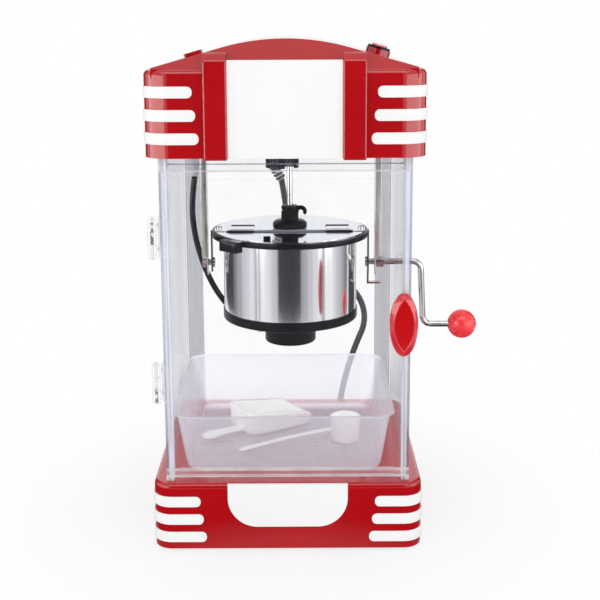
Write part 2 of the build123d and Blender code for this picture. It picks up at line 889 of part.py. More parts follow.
with BuildPart() as switch_bezel:
    with BuildSketch(switch_plane):
        Circle(bezel_radius)
    extrude(amount=bezel_height)
    fillet(switch_bezel.edges().sort_by(Axis(switch_seat, switch_normal))[-1], bezel_round)
    with BuildSketch(switch_plane):
        Circle(bezel_radius - bezel_shelf)
    extrude(amount=-bezel_sleeve)
    with BuildSketch(switch_plane.offset(bezel_height)):
        Circle(bezel_bore)
    extrude(amount=-(bezel_height + bezel_sleeve - bezel_shelf), mode=Mode.SUBTRACT)
    with BuildSketch(pin_plane):
        Circle(rocker_pin + hinge_clearance)
    extrude(amount=bezel_radius, both=True, mode=Mode.SUBTRACT)
switch_bezel.part.label = "switch_bezel"
export_step(switch_bezel.part, "parts/switch_bezel.step")

rocker_normal = Vector(*switch_normal).rotate(Axis(pivot_point, switch_along), rocker_tilt)
rocker_plane = Plane(origin=pivot_point, x_dir=switch_along, z_dir=rocker_normal)
with BuildPart() as switch_rocker:
    with BuildSketch(rocker_plane.offset(-rocker_pivot)):
        Circle(rocker_radius)
    extrude(amount=2 * rocker_pivot + rocker_height)
    fillet(switch_rocker.edges().sort_by(Axis(pivot_point, rocker_normal))[-1], rocker_round)
    with BuildSketch(pin_plane):
        Circle(rocker_pin)
    extrude(amount=bezel_bore + rocker_pin / 2, both=True)
switch_rocker.part.label = "switch_rocker"
export_step(switch_rocker.part, "parts/switch_rocker.step")

# ---- Gearbox, motor and drive ----
case_floor = ceiling_top + case_wall
gear_bottom = case_floor + gear_lift
case_top = ceiling_top + case_height
gear_distance = gear_module * (gear_teeth + pinion_teeth) / 2
pinion_x = kettle_x - gear_distance

with BuildPart() as gearbox_case:
    with BuildSketch(Plane.XY.offset(boss_groove)):
        with Locations((motor_boss_x, 0)):
            Circle(motor_boss_radius - boss_rib)
            with PolarLocations(motor_boss_radius - boss_rib, boss_ribs):
                Rectangle(2 * boss_rib, boss_rib_width)
    extrude(amount=ceiling_underside - boss_groove)
    with BuildSketch(Plane.XY.offset(motor_boss_bottom)):
        with Locations((motor_boss_x, 0)):
            Circle(motor_boss_radius)
    extrude(amount=boss_flange)
    with BuildSketch(Plane.XY.offset(motor_boss_bottom)):
        with Locations((motor_boss_x, 0)):
            Circle(motor_boss_radius - boss_skirt)
    extrude(amount=ceiling_underside - motor_boss_bottom)
    with BuildSketch(Plane.XY.offset(ceiling_underside)):
        with Locations((motor_boss_x, 0)):
            Circle(motor_boss_radius)
    extrude(amount=ceiling_thickness)
    with BuildSketch(Plane.XY.offset(motor_boss_bottom)):
        with Locations((motor_boss_x - boss_peg_x, -boss_peg_y)):
            Circle(boss_peg_radius)
    extrude(amount=-boss_peg_drop)
    with BuildSketch(Plane.XY.offset(ceiling_top)):
        with Locations((motor_boss_x, 0)):
            Circle(case_radius + case_wall)
    extrude(amount=case_height)
    with BuildSketch(Plane.XY.offset(case_floor)):
        with Locations((motor_boss_x, 0)):
            Circle(case_radius)
    extrude(amount=case_height, mode=Mode.SUBTRACT)
    with BuildSketch(Plane.XY.offset(motor_boss_bottom)):
        with Locations((kettle_x, 0)):
            Circle(spindle_radius + bearing_clearance)
    extrude(amount=case_height + ceiling_top - motor_boss_bottom, mode=Mode.SUBTRACT)
    with BuildSketch(Plane.XY.offset(motor_boss_bottom)):
        with Locations((kettle_x, 0)):
            Circle(slot_width / 2)
        with Locations((kettle_x, -motor_boss_radius)):
            Rectangle(slot_width, 2 * motor_boss_radius)
    extrude(amount=shaft_top + tang_height + slot_headroom - motor_boss_bottom, mode=Mode.SUBTRACT)
gearbox_case.part.label = "gearbox_case"
export_step(gearbox_case.part, "parts/gearbox_case.step")

with BuildPart() as drive_motor:
    with BuildSketch(Plane.XY.offset(case_top)):
        with Locations((motor_boss_x, 0)):
            Circle(case_radius + case_wall)
    extrude(amount=case_wall)
    with BuildSketch(Plane.XY.offset(case_top)):
        with Locations((pinion_x, 0)):
            Circle(motor_radius)
    extrude(amount=case_wall + motor_height)
    fillet(drive_motor.edges().group_by(Axis.Z)[-1], motor_round)
    with BuildSketch(Plane.XY.offset(case_top)):
        with Locations((kettle_x, 0)):
            Circle(journal_radius + bearing_clearance)
        with Locations((pinion_x, 0)):
            Circle(motor_shaft_radius + bearing_clearance)
    extrude(amount=0.8 * case_wall, mode=Mode.SUBTRACT)
    with BuildSketch(Plane.XY.offset(case_top)):
        with Locations((pinion_x, 0)):
            Circle(motor_shaft_radius + bearing_clearance)
    extrude(amount=motor_height / 2, mode=Mode.SUBTRACT)
drive_motor.part.label = "drive_motor"
export_step(drive_motor.part, "parts/drive_motor.step")


def gear(teeth, phase):
    """A gear's outline: straight-sided teeth on the pitch circle, the first one at the given angle."""
    pitch_radius = gear_module * teeth / 2
    root = pitch_radius - root_depth * gear_module
    tip = pitch_radius + tip_height * gear_module
    base = 0.95 * root
    half_pitch = (pi * gear_module - backlash) / 4
    root_half = half_pitch + root_depth * gear_module * tan(radians(root_flank))
    tip_half = half_pitch - tip_height * gear_module * tan(radians(tip_flank))
    with BuildSketch() as outline:
        Circle(root)
        with PolarLocations(0, teeth, start_angle=phase):
            with BuildLine(mode=Mode.PRIVATE) as tooth:
                Polyline((base, -root_half), (tip, -tip_half), (tip, tip_half), (base, root_half), close=True)
            add(make_face(tooth.edges(), mode=Mode.PRIVATE))
    return outline.sketch


with BuildPart() as drive_gear:
    with BuildSketch(Plane.XY.offset(gear_bottom)):
        with Locations((kettle_x, 0)):
            add(gear(gear_teeth, 0))
    extrude(amount=gear_thickness)
    with BuildSketch(Plane.XY.offset(socket_bottom)):
        with Locations((kettle_x, 0)):
            Circle(spindle_radius)
    extrude(amount=gear_bottom - socket_bottom)
    with BuildSketch(Plane.XY.offset(gear_bottom + gear_thickness)):
        with Locations((kettle_x, 0)):
            Circle(journal_radius)
    extrude(amount=case_top + 0.6 * case_wall - gear_bottom - gear_thickness)
    with BuildSketch(Plane.XY.offset(socket_bottom)):
        with Locations((kettle_x, 0)):
            Rectangle(tang_width + 2 * tang_clearance, 3 * spindle_radius)
    extrude(amount=shaft_top + tang_height + tang_clearance - socket_bottom, mode=Mode.SUBTRACT)
drive_gear.part.label = "drive_gear"
export_step(drive_gear.part, "parts/drive_gear.step")

with BuildPart() as motor_pinion:
    with BuildSketch(Plane.XY.offset(gear_bottom - gear_lift / 2)):
        with Locations((pinion_x, 0)):
            add(gear(pinion_teeth, 180 / pinion_teeth))
    extrude(amount=gear_thickness + gear_lift)
    with BuildSketch(Plane.XY.offset(gear_bottom)):
        with Locations((pinion_x, 0)):
            Circle(motor_shaft_radius)
    extrude(amount=case_top + 0.46 * motor_height - gear_bottom)
motor_pinion.part.label = "motor_pinion"
export_step(motor_pinion.part, "parts/motor_pinion.step")

# ---- Hangers ----
hanger_flange_end = pivot_z + hanger_neck
hanger_bottom = pivot_z - hanger_tail
for side, face, label in ((-1, left_hanger_x, "left_hanger"), (1, right_hanger_x, "right_hanger")):
    outer = face + side * hanger_web
    edge = face + side * hanger_depth
    with BuildPart() as hanger:
        with BuildSketch(Plane.YZ.offset(face)):
            with Locations((0, (hanger_flange_end + ceiling_underside) / 2)):
                Rectangle(hanger_width, ceiling_underside - hanger_flange_end)
            with Locations((0, (hanger_bottom + hanger_flange_end + hanger_web) / 2)):
                Rectangle(hanger_width - 2 * hanger_web, hanger_flange_end - hanger_bottom + hanger_web)
        extrude(amount=side * hanger_web)
        for flank in (-1, 1):
            with BuildSketch(Plane.XY.offset(hanger_flange_end)):
                with Locations(((outer + edge) / 2, flank * (hanger_width - hanger_web) / 2)):
                    Rectangle(abs(edge - outer), hanger_web)
            extrude(amount=ceiling_underside - hanger_flange_end)
        with BuildSketch(Plane.XY.offset(ceiling_underside)):
            with Locations((outer - side * hanger_foot / 2, 0)):
                Rectangle(hanger_foot, hanger_width)
        extrude(amount=-hanger_web)
        fillet(hanger.edges().filter_by(Axis.X).group_by(Axis.Z)[0], hanger_round)
        with BuildSketch(Plane.YZ.offset(face)):
            with Locations((0, pivot_z)):
                Circle(hanger_hole)
        extrude(amount=side * hanger_web, mode=Mode.SUBTRACT)
    hanger.part.label = label
    export_step(hanger.part, f"parts/{label}.step")

# ---- Kettle ----
left_ear = kettle_x - ring_flat
right_ear = kettle_x + ring_flat

with BuildPart() as kettle_pot:
    with BuildSketch(Plane.XY.offset(pot_floor)):
        with Locations((kettle_x, 0)):
            Circle(pot_radius)
    extrude(amount=ring_top - pot_floor)
    fillet(kettle_pot.edges().group_by(Axis.Z)[0], pot_round)
    with BuildSketch(Plane.XY.offset(pot_floor + pot_wall)):
        with Locations((kettle_x, 0)):
            Circle(pot_radius - pot_wall)
    extrude(amount=ring_top - pot_floor, mode=Mode.SUBTRACT)
kettle_pot.part.label = "kettle_pot"
export_step(kettle_pot.part, "parts/kettle_pot.step")

lid_screw_places = [(kettle_x - lid_screw_reach, 0), (kettle_x + lid_screw_reach, 0)]
with BuildPart() as kettle_rim:
    with BuildSketch(Plane.XY.offset(ring_bottom)):
        with Locations((kettle_x, 0)):
            Circle(ring_radius)
            Rectangle(2 * ring_flat, 2 * ring_radius, mode=Mode.INTERSECT)
            Circle(pot_radius + trim_gap, mode=Mode.SUBTRACT)
    extrude(amount=ring_top - ring_bottom)
    with BuildSketch(Plane.XY.offset(ring_bottom)):
        with Locations((kettle_x, 0)):
            Circle(ring_flat - 2 * ring_skin)
            Circle(pot_radius + ring_skin, mode=Mode.SUBTRACT)
    extrude(amount=ring_top - ring_bottom - ring_skin, mode=Mode.SUBTRACT)
    with BuildSketch(Plane.XY.offset(ring_bottom)):
        with Locations(lid_screw_places):
            Circle(2.4 * screw_radius)
    extrude(amount=ring_top - ring_bottom)
    with BuildSketch(Plane.XY.offset(ring_bottom)):
        with Locations(lid_screw_places):
            Circle(screw_radius + screw_clearance)
    extrude(amount=ring_top - ring_bottom, mode=Mode.SUBTRACT)
kettle_rim.part.label = "kettle_rim"
export_step(kettle_rim.part, "parts/kettle_rim.step")

cup_screw_reach = base_cup_radius - 4.0
cup_screw_length = 4.5
cup_screw_places = [
    (kettle_x + cup_screw_reach * cos(radians(angle)), cup_screw_reach * sin(radians(angle)))
    for angle in (3, 123, 243)
]
with BuildPart() as kettle_base:
    with BuildSketch(Plane.XY.offset(base_cup_bottom)):
        with Locations((kettle_x, 0)):
            Circle(base_cup_radius)
    extrude(amount=base_cup_top - base_cup_bottom)
    fillet(kettle_base.edges().group_by(Axis.Z)[0], 0.8 * pot_round)
    with BuildSketch(Plane.XY.offset(pot_floor - trim_gap)):
        with Locations((kettle_x, 0)):
            Circle(pot_radius + trim_gap)
    extrude(amount=base_cup_top - pot_floor + trim_gap, mode=Mode.SUBTRACT)
    with BuildSketch(Plane.XY.offset(base_cup_bottom + heater_wall)):
        with Locations((kettle_x, 0)):
            Circle(base_cup_radius - 4 * heater_wall)
    extrude(amount=pot_floor - base_cup_bottom, mode=Mode.SUBTRACT)
    with BuildSketch(Plane.XY.offset(base_cup_bottom)):
        with Locations(cup_screw_places):
            Circle(screw_radius + screw_clearance)
    extrude(amount=cup_screw_length + 2 * screw_hole_gap, mode=Mode.SUBTRACT)
kettle_base.part.label = "kettle_base"
export_step(kettle_base.part, "parts/kettle_base.step")

boot_direction = Vector(cos(radians(heater_boot_angle)), sin(radians(heater_boot_angle)), 0)
boot_root = Vector(kettle_x, 0, heater_boot_z) + boot_direction * (heater_radius - heater_wall / 2)
boot_plane = Plane(origin=boot_root, z_dir=boot_direction)
with BuildPart() as heater_housing:
    with BuildSketch(Plane.XY.offset(heater_bottom)):
        with Locations((kettle_x, 0)):
            Circle(heater_radius)
    extrude(amount=base_cup_bottom - heater_bottom)
    fillet(heater_housing.edges().group_by(Axis.Z)[0], pot_round)
    with BuildSketch(boot_plane):
        Circle(heater_boot_radius)
    with BuildSketch(boot_plane.offset(heater_boot_reach - heater_radius + heater_wall / 2)):
        Circle(kettle_cord_radius + 1.5 * boot_wall)
    loft()
    with BuildSketch(Plane.XY.offset(heater_bottom + heater_wall)):
        with Locations((kettle_x, 0)):
            Circle(heater_radius - heater_wall)
    extrude(amount=base_cup_bottom - heater_bottom, mode=Mode.SUBTRACT)
heater_housing.part.label = "heater_housing"
export_step(heater_housing.part, "parts/heater_housing.step")

with BuildPart() as heating_element:
    with BuildSketch(Plane.XZ):
        with Locations((kettle_x + element_ring, pot_floor - 4 * trim_gap - element_radius)):
            Circle(element_radius)
    revolve(axis=Axis((kettle_x, 0, 0), (0, 0, 1)), revolution_arc=element_turn)
heating_element.part.label = "heating_element"
export_step(heating_element.part, "parts/heating_element.step")

# The lid: a rear half screwed to the ring and a front flap on a rod
lid_bottom = ring_top
lid_top = ring_top + lid_thickness
flap_axis_z = lid_top + 0.8 * flap_rod_radius
loop_radius = flap_rod_radius + hinge_clearance + strap_thickness
strap_places = [kettle_x - strap_inner - strap_width / 2, kettle_x + strap_inner + strap_width / 2]
flap_edge = flap_axis_y - loop_radius - flap_gap
rear_edge = flap_axis_y + loop_radius + flap_gap

with BuildPart() as rear_lid:
    with BuildSketch(Plane.XY.offset(lid_bottom)):
        with Locations((kettle_x, 0)):
            Circle(lid_radius)
            Circle(neck_radius + bearing_clearance, mode=Mode.SUBTRACT)
        with Locations((kettle_x, rear_edge + lid_radius)):
            Rectangle(2 * lid_radius, 2 * lid_radius, mode=Mode.INTERSECT)
        with Locations(lid_screw_places):
            Circle(screw_radius + screw_hole_gap, mode=Mode.SUBTRACT)
        for place in strap_places:
            with Locations((place, strap_back + strap_slot)):
                SlotOverall(strap_width, strap_slot, mode=Mode.SUBTRACT)
    extrude(amount=lid_thickness)
rear_lid.part.label = "rear_lid"
export_step(rear_lid.part, "parts/rear_lid.step")

strap_length = strap_back - flap_axis_y
with BuildPart() as lid_straps:
    for place in strap_places:
        with BuildSketch(Plane.YZ.offset(place - strap_width / 2)):
            with Locations((strap_back - strap_length / 2, lid_top + strap_thickness / 2)):
                Rectangle(strap_length, strap_thickness)
            with Locations((flap_axis_y, flap_axis_z)):
                Circle(loop_radius)
            with Locations((flap_axis_y - loop_radius, lid_top - loop_radius)):
                Rectangle(4 * loop_radius, 2 * loop_radius, mode=Mode.SUBTRACT)
            with Locations((flap_axis_y, flap_axis_z)):
                Circle(flap_rod_radius + hinge_clearance, mode=Mode.SUBTRACT)
        extrude(amount=strap_width)
lid_straps.part.label = "lid_straps"
export_step(lid_straps.part, "parts/lid_straps.step")

rod_half = strap_inner + strap_width + 3
with BuildPart() as front_lid:
    with BuildSketch(Plane.XY.offset(lid_bottom)):
        with Locations((kettle_x, 0)):
            Circle(lid_radius)
        with Locations((kettle_x, flap_edge - lid_radius)):
            Rectangle(2 * lid_radius, 2 * lid_radius, mode=Mode.INTERSECT)
        with Locations((kettle_x, (flap_edge + flap_axis_y) / 2)):
            Rectangle(2 * (strap_inner - 1), flap_axis_y - flap_edge)
    extrude(amount=lid_thickness)
    with BuildSketch(Plane.YZ.offset(kettle_x - rod_half)):
        with Locations((flap_axis_y, flap_axis_z)):
            Circle(flap_rod_radius)
    extrude(amount=2 * rod_half)
front_lid.part.label = "front_lid"
export_step(front_lid.part, "parts/front_lid.step")

with BuildPart() as lid_knob:
    with BuildSketch(Plane.XY.offset(lid_top)):
        with Locations((knob_x, knob_y)):
            RectangleRounded(knob_width, 0.6 * knob_width, 0.2 * knob_width)
    extrude(amount=knob_height)
    fillet(lid_knob.edges().group_by(Axis.Z)[-1], 0.15 * knob_width)
lid_knob.part.label = "lid_knob"
export_step(lid_knob.part, "parts/lid_knob.step")

grip_direction = (cos(radians(grip_angle)), sin(radians(grip_angle)), 0)
grip_plane = Plane(origin=(kettle_x, 0, ring_top - grip_height), x_dir=grip_direction, z_dir=(0, 0, 1))
with BuildPart() as grip_block:
    with BuildSketch(grip_plane):
        with Locations((ring_radius - 1 + grip_depth / 2, 0)):
            RectangleRounded(grip_depth + 2, grip_length, 2)
        Circle(ring_radius + trim_gap, mode=Mode.SUBTRACT)
    extrude(amount=grip_height)
grip_block.part.label = "grip_block"
export_step(grip_block.part, "parts/grip_block.step")

with BuildPart() as kettle_ears:
    for side in (-1, 1):
        with BuildSketch(Plane.YZ.offset(kettle_x + side * ring_flat)):
            with Locations((0, (ring_top + ear_bottom) / 2)):
                Rectangle(ear_width, ring_top - ear_bottom)
        extrude(amount=side * ear_thickness)
    with BuildSketch(Plane.XZ.offset(-stop_width / 2)):
        with Locations((right_ear + ear_thickness / 2, (ear_bottom + stop_bottom) / 2)):
            Rectangle(ear_thickness, ear_bottom - stop_bottom)
        with Locations((right_ear + stop_reach / 2, stop_bottom + ear_thickness / 2)):
            Rectangle(stop_reach, ear_thickness)
    extrude(amount=stop_width)
    with BuildSketch(Plane.YZ.offset(kettle_x - ring_flat - ear_thickness)):
        with Locations((0, pivot_z)):
            Circle(rod_radius + trim_gap)
    extrude(amount=2 * (ring_flat + ear_thickness), mode=Mode.SUBTRACT)
kettle_ears.part.label = "kettle_ears"
export_step(kettle_ears.part, "parts/kettle_ears.step")

with BuildPart() as kettle_screws:
    with BuildSketch(Plane.XY.offset(lid_top)):
        with Locations(lid_screw_places):
            Circle(2 * screw_radius)
    extrude(amount=screw_head)
    with BuildSketch(Plane.XY.offset(ring_bottom)):
        with Locations(lid_screw_places):
            Circle(screw_radius)
    extrude(amount=lid_top - ring_bottom)
    with BuildSketch(Plane.XY.offset(base_cup_bottom)):
        with Locations(cup_screw_places):
            Circle(1.8 * screw_radius)
    extrude(amount=-screw_head)
    with BuildSketch(Plane.XY.offset(base_cup_bottom)):
        with Locations(cup_screw_places):
            Circle(screw_radius)
    extrude(amount=cup_screw_length)
kettle_screws.part.label = "kettle_screws"
export_step(kettle_screws.part, "parts/kettle_screws.step")

# ---- Pivots and crank ----
with BuildPart() as pivot_pin:
    with BuildSketch(Plane.YZ.offset(left_ear + rod_head)):
        with Locations((0, pivot_z)):
            Circle(rod_radius)
    extrude(amount=left_hanger_x - hanger_web - pin_overrun - left_ear - rod_head)
    with BuildSketch(Plane.YZ.offset(left_ear)):
        with Locations((0, pivot_z)):
            Circle(rod_radius + rod_head)
    extrude(amount=rod_head)
pivot_pin.part.label = "pivot_pin"
export_step(pivot_pin.part, "parts/pivot_pin.step")

with BuildPart() as crank_rod:
    with BuildLine() as crank_path:
        FilletPolyline(
            (right_ear - rod_head, 0, pivot_z),
            (crank_out, 0, pivot_z),
            (crank_out + crank_lean, 0, pivot_z - crank_drop),
            (ball_x - ball_radius + ball_socket, 0, pivot_z - crank_drop),
            radius=crank_bend,
        )
    with BuildSketch(Plane.YZ.offset(right_ear - rod_head)):
        with Locations((0, pivot_z)):
            Circle(rod_radius)
    sweep(path=crank_path.line)
    with BuildSketch(Plane.YZ.offset(right_ear - rod_head)):
        with Locations((0, pivot_z)):
            Circle(rod_radius + rod_head)
    extrude(amount=rod_head)
crank_rod.part.label = "crank_rod"
export_step(crank_rod.part, "parts/crank_rod.step")

with BuildPart() as crank_ball:
    with Locations((ball_x, 0, pivot_z - crank_drop)):
        Sphere(ball_radius)
    with BuildSketch(Plane.YZ.offset(ball_x - ball_radius)):
        with Locations((0, pivot_z - crank_drop)):
            Circle(rod_radius + ball_recess)
    extrude(amount=ball_recess, mode=Mode.SUBTRACT)
    with BuildSketch(Plane.YZ.offset(ball_x - ball_radius)):
        with Locations((0, pivot_z - crank_drop)):
            Circle(rod_radius + trim_gap)
    extrude(amount=ball_socket, mode=Mode.SUBTRACT)
crank_ball.part.label = "crank_ball"
export_step(crank_ball.part, "parts/crank_ball.step")

left_collar = left_hanger_x - hanger_web - collar_gap
right_collar = right_hanger_x + hanger_web + collar_gap
with BuildPart() as thumb_screws:
    with BuildSketch(Plane.YZ.offset(left_collar)):
        with Locations((0, pivot_z)):
            RegularPolygon(collar_radius, 6)
            Circle(rod_radius + trim_gap, mode=Mode.SUBTRACT)
    extrude(amount=-nut_length)
    with BuildSketch(Plane.YZ.offset(right_collar)):
        with Locations((0, pivot_z)):
            Circle(collar_radius)
            Circle(rod_radius + trim_gap, mode=Mode.SUBTRACT)
    extrude(amount=collar_length)
    with BuildSketch(Plane.XY.offset(pivot_z + collar_radius - grub_height / 5)):
        with Locations((right_collar + 0.6 * collar_length, 0)):
            Circle(grub_radius)
    extrude(amount=grub_height)
thumb_screws.part.label = "thumb_screws"
export_step(thumb_screws.part, "parts/thumb_screws.step")

with BuildPart() as crank_bushing:
    with BuildSketch(Plane.YZ.offset(inner_half_width - bush_flange)):
        with Locations((0, pivot_z)):
            Circle(bush_radius)
    extrude(amount=bush_flange - trim_gap)
    with BuildSketch(Plane.YZ.offset(inner_half_width - bush_flange)):
        with Locations((0, pivot_z)):
            Circle(bush_radius - bush_lip)
    extrude(amount=cabinet_wall + 2 * bush_flange)
    with BuildSketch(Plane.YZ.offset(cabinet_half_width + trim_gap)):
        with Locations((0, pivot_z)):
            Circle(bush_radius)
    extrude(amount=bush_flange - trim_gap)
    with BuildSketch(Plane.YZ.offset(inner_half_width - bush_flange)):
        with Locations((0, pivot_z)):
            Circle(rod_radius + bearing_clearance)
    extrude(amount=cabinet_wall + 2 * bush_flange, mode=Mode.SUBTRACT)
crank_bushing.part.label = "crank_bushing"
export_step(crank_bushing.part, "parts/crank_bushing.step")

# ---- Stirrer ----
with BuildPart() as stirrer_shaft:
    with BuildSketch(Plane.XY.offset(pot_floor + pot_wall + shaft_lift)):
        with Locations((kettle_x, 0)):
            Circle(shaft_radius)
    extrude(amount=shaft_top - pot_floor - pot_wall - shaft_lift)
    with BuildSketch(Plane.XY.offset(shaft_top)):
        with Locations((kettle_x, 0)):
            Circle(shaft_radius)
            Rectangle(tang_width, 2 * shaft_radius, mode=Mode.INTERSECT)
    extrude(amount=tang_height)
    with BuildSketch(Plane.YZ.offset(kettle_x)):
        with Locations((0, arm_level)):
            Circle(arm_radius + trim_gap)
    extrude(amount=1.5 * shaft_radius, both=True, mode=Mode.SUBTRACT)
stirrer_shaft.part.label = "stirrer_shaft"
export_step(stirrer_shaft.part, "parts/stirrer_shaft.step")

with BuildPart() as stirrer_hub:
    with BuildSketch(Plane.XY.offset(ring_bottom)):
        with Locations((kettle_x, 0)):
            Circle(neck_radius)
    extrude(amount=flange_bottom - ring_bottom)
    with BuildSketch(Plane.XY.offset(flange_bottom)):
        with Locations((kettle_x, 0)):
            Circle(flange_radius)
    extrude(amount=flange_top - flange_bottom)
    chamfer(stirrer_hub.edges().group_by(Axis.Z)[-1], flange_bevel)
    with BuildSketch(Plane.XY.offset(flange_top)):
        with Locations((kettle_x, 0)):
            Circle(hub_radius)
        with Locations((kettle_x + claw_reach / 2, 0)):
            Rectangle(claw_reach, claw_width)
    extrude(amount=neck_top - flange_top)
    with BuildSketch(Plane.XY.offset(flange_top)):
        with Locations((kettle_x + hub_radius + claw_reach / 2, 0)):
            Rectangle(claw_reach, 1.6 * claw_width)
    extrude(amount=neck_top - claw_height - claw_gap - flange_top, mode=Mode.SUBTRACT)
    with BuildSketch(Plane.XY.offset(ring_bottom)):
        with Locations((kettle_x, 0)):
            Circle(shaft_radius + trim_gap)
    extrude(amount=neck_top - ring_bottom, mode=Mode.SUBTRACT)
stirrer_hub.part.label = "stirrer_hub"
export_step(stirrer_hub.part, "parts/stirrer_hub.step")

with BuildPart() as stir_arm:
    with BuildLine() as arm_path:
        FilletPolyline(
            (kettle_x - arm_reach + arm_lean, arm_tip, arm_level),
            (kettle_x - arm_reach, 0, arm_level),
            (kettle_x + arm_reach, 0, arm_level),
            (kettle_x + arm_reach - arm_lean, -arm_tip, arm_level),
            radius=arm_bend,
        )
    with BuildSketch(Plane(origin=arm_path.line @ 0, z_dir=arm_path.line % 0)):
        Circle(arm_radius)
    sweep(path=arm_path.line)
stir_arm.part.label = "stir_arm"
export_step(stir_arm.part, "parts/stir_arm.step")

# ---- Tub, scoop and measuring spoon ----
tub_floor = base_top + tub_gap


def tub_shape(inset, low, high):
    """The tub's tapered block from one level to another, drawn in by inset."""
    slope_x = (tub_half_width - tub_lip - tub_foot_half_width) / (tub_top - tub_floor)
    slope_y = (tub_half_depth - tub_lip - tub_foot_half_depth) / (tub_top - tub_floor)
    with BuildPart() as block:
        for level in (low, high):
            with BuildSketch(Plane.XY.offset(level)):
                with Locations((tub_x, 0)):
                    RectangleRounded(
                        2 * (tub_foot_half_width + slope_x * (level - tub_floor) - inset),
                        2 * (tub_foot_half_depth + slope_y * (level - tub_floor) - inset),
                        tub_corner - inset,
                    )
        loft()
    return block.part


outer_tub = tub_shape(0, tub_floor, tub_top)
inner_tub = tub_shape(tub_wall, tub_floor + tub_wall, tub_top + tub_wall)
with BuildPart() as tub:
    add(outer_tub)
    with BuildSketch(Plane.XY.offset(tub_top)):
        with Locations((tub_x, 0)):
            RectangleRounded(2 * tub_half_width, 2 * tub_half_depth, tub_corner + tub_lip)
    extrude(amount=-tub_wall)
    add(inner_tub, mode=Mode.SUBTRACT)
tub.part.label = "tub"
export_step(tub.part, "parts/tub.step")

tray_level = tub_floor + tub_wall + tub_gap
scoop_along = Vector(cos(radians(scoop_heading)), sin(radians(scoop_heading)), 0)
scoop_plane = Plane(origin=(scoop_x, scoop_y, tray_level), x_dir=scoop_along, z_dir=(0, 0, 1))
scoop_side = Plane(origin=scoop_plane.origin, x_dir=scoop_along, z_dir=scoop_along.cross(Vector(0, 0, 1)))
scoop_root = scoop_wall - scoop_length / 2
mouth_length = scoop_length + 2 * scoop_flare
mouth_width = scoop_width + 2 * scoop_flare
with BuildPart() as scoop:
    with BuildSketch(scoop_plane):
        RectangleRounded(scoop_length, scoop_width, scoop_corner)
    with BuildSketch(scoop_plane.offset(scoop_height)):
        with Locations((scoop_flare, 0)):
            RectangleRounded(mouth_length, mouth_width, scoop_corner + scoop_flare)
    loft()
    with BuildSketch(scoop_plane.offset(scoop_wall)):
        RectangleRounded(
            scoop_length - 2 * scoop_wall, scoop_width - 2 * scoop_wall, scoop_corner - scoop_wall
        )
    with BuildSketch(scoop_plane.offset(scoop_height + trim_gap)):
        with Locations((scoop_flare, 0)):
            RectangleRounded(
                mouth_length - 2 * scoop_wall,
                mouth_width - 2 * scoop_wall,
                scoop_corner + scoop_flare - scoop_wall,
            )
    loft(mode=Mode.SUBTRACT)
    with BuildSketch(scoop_plane.offset(scoop_handle_level)):
        with Locations((scoop_root - scoop_handle / 2, 0)):
            RectangleRounded(scoop_handle, scoop_handle_width, scoop_handle_width / 2 - trim_gap)
        with Locations((scoop_root - scoop_handle + scoop_end_length / 2, 0)):
            Ellipse(scoop_end_length / 2, scoop_end_width / 2)
    extrude(amount=scoop_handle_thickness)
    with BuildSketch(scoop_side):
        with BuildLine():
            Polyline(
                (scoop_length / 2 - scoop_lip_run, scoop_height + scoop_wall),
                (scoop_length / 2 + 4 * scoop_flare, scoop_height + scoop_wall),
                (scoop_length / 2 + 4 * scoop_flare, scoop_lip_level),
                close=True,
            )
        make_face()
    extrude(amount=scoop_width, both=True, mode=Mode.SUBTRACT)
scoop.part.label = "scoop"
export_step(scoop.part, "parts/scoop.step")

cup_plane = Plane.XY.offset(tray_level)
cup_foot = cup_radius - cup_taper
spoon_root = Vector(cup_x - 0.72 * cup_radius, cup_y + 0.19 * cup_radius, tray_level + spoon_root_level)
spoon_end = Vector(spoon_end_x, spoon_end_y, tray_level + spoon_end_level)
spoon_run = spoon_end - spoon_root
spoon_face = spoon_run.cross(Vector(0, 0, 1)).cross(spoon_run)
spoon_plane = Plane(origin=(spoon_root + spoon_end) / 2, x_dir=spoon_run, z_dir=spoon_face)
with BuildPart() as measuring_spoon:
    with BuildSketch(cup_plane):
        with Locations((cup_x, cup_y)):
            Circle(cup_foot)
    with BuildSketch(cup_plane.offset(cup_height)):
        with Locations((cup_x, cup_y)):
            Circle(cup_radius)
    loft()
    with BuildSketch(spoon_plane):
        SlotOverall(spoon_run.length, spoon_handle_width)
    extrude(amount=spoon_handle_thickness / 2, both=True)
    with BuildSketch(cup_plane.offset(scoop_wall)):
        with Locations((cup_x, cup_y)):
            Circle(cup_foot - scoop_wall)
    with BuildSketch(cup_plane.offset(cup_height)):
        with Locations((cup_x, cup_y)):
            Circle(cup_radius - scoop_wall)
    loft(mode=Mode.SUBTRACT)
measuring_spoon.part.label = "measuring_spoon"
export_step(measuring_spoon.part, "parts/measuring_spoon.step")

# ---- Cords, their glands and the plug ----
gland_wall = housing_depth / 2
boot_top = Vector(gland_x, rear_line, gland_z - 7)
boot_knee = Vector(gland_x + 1.5, rear_line, gland_z - 46)
boot_end = Vector(gland_x + 13, rear_line, gland_z - 68)

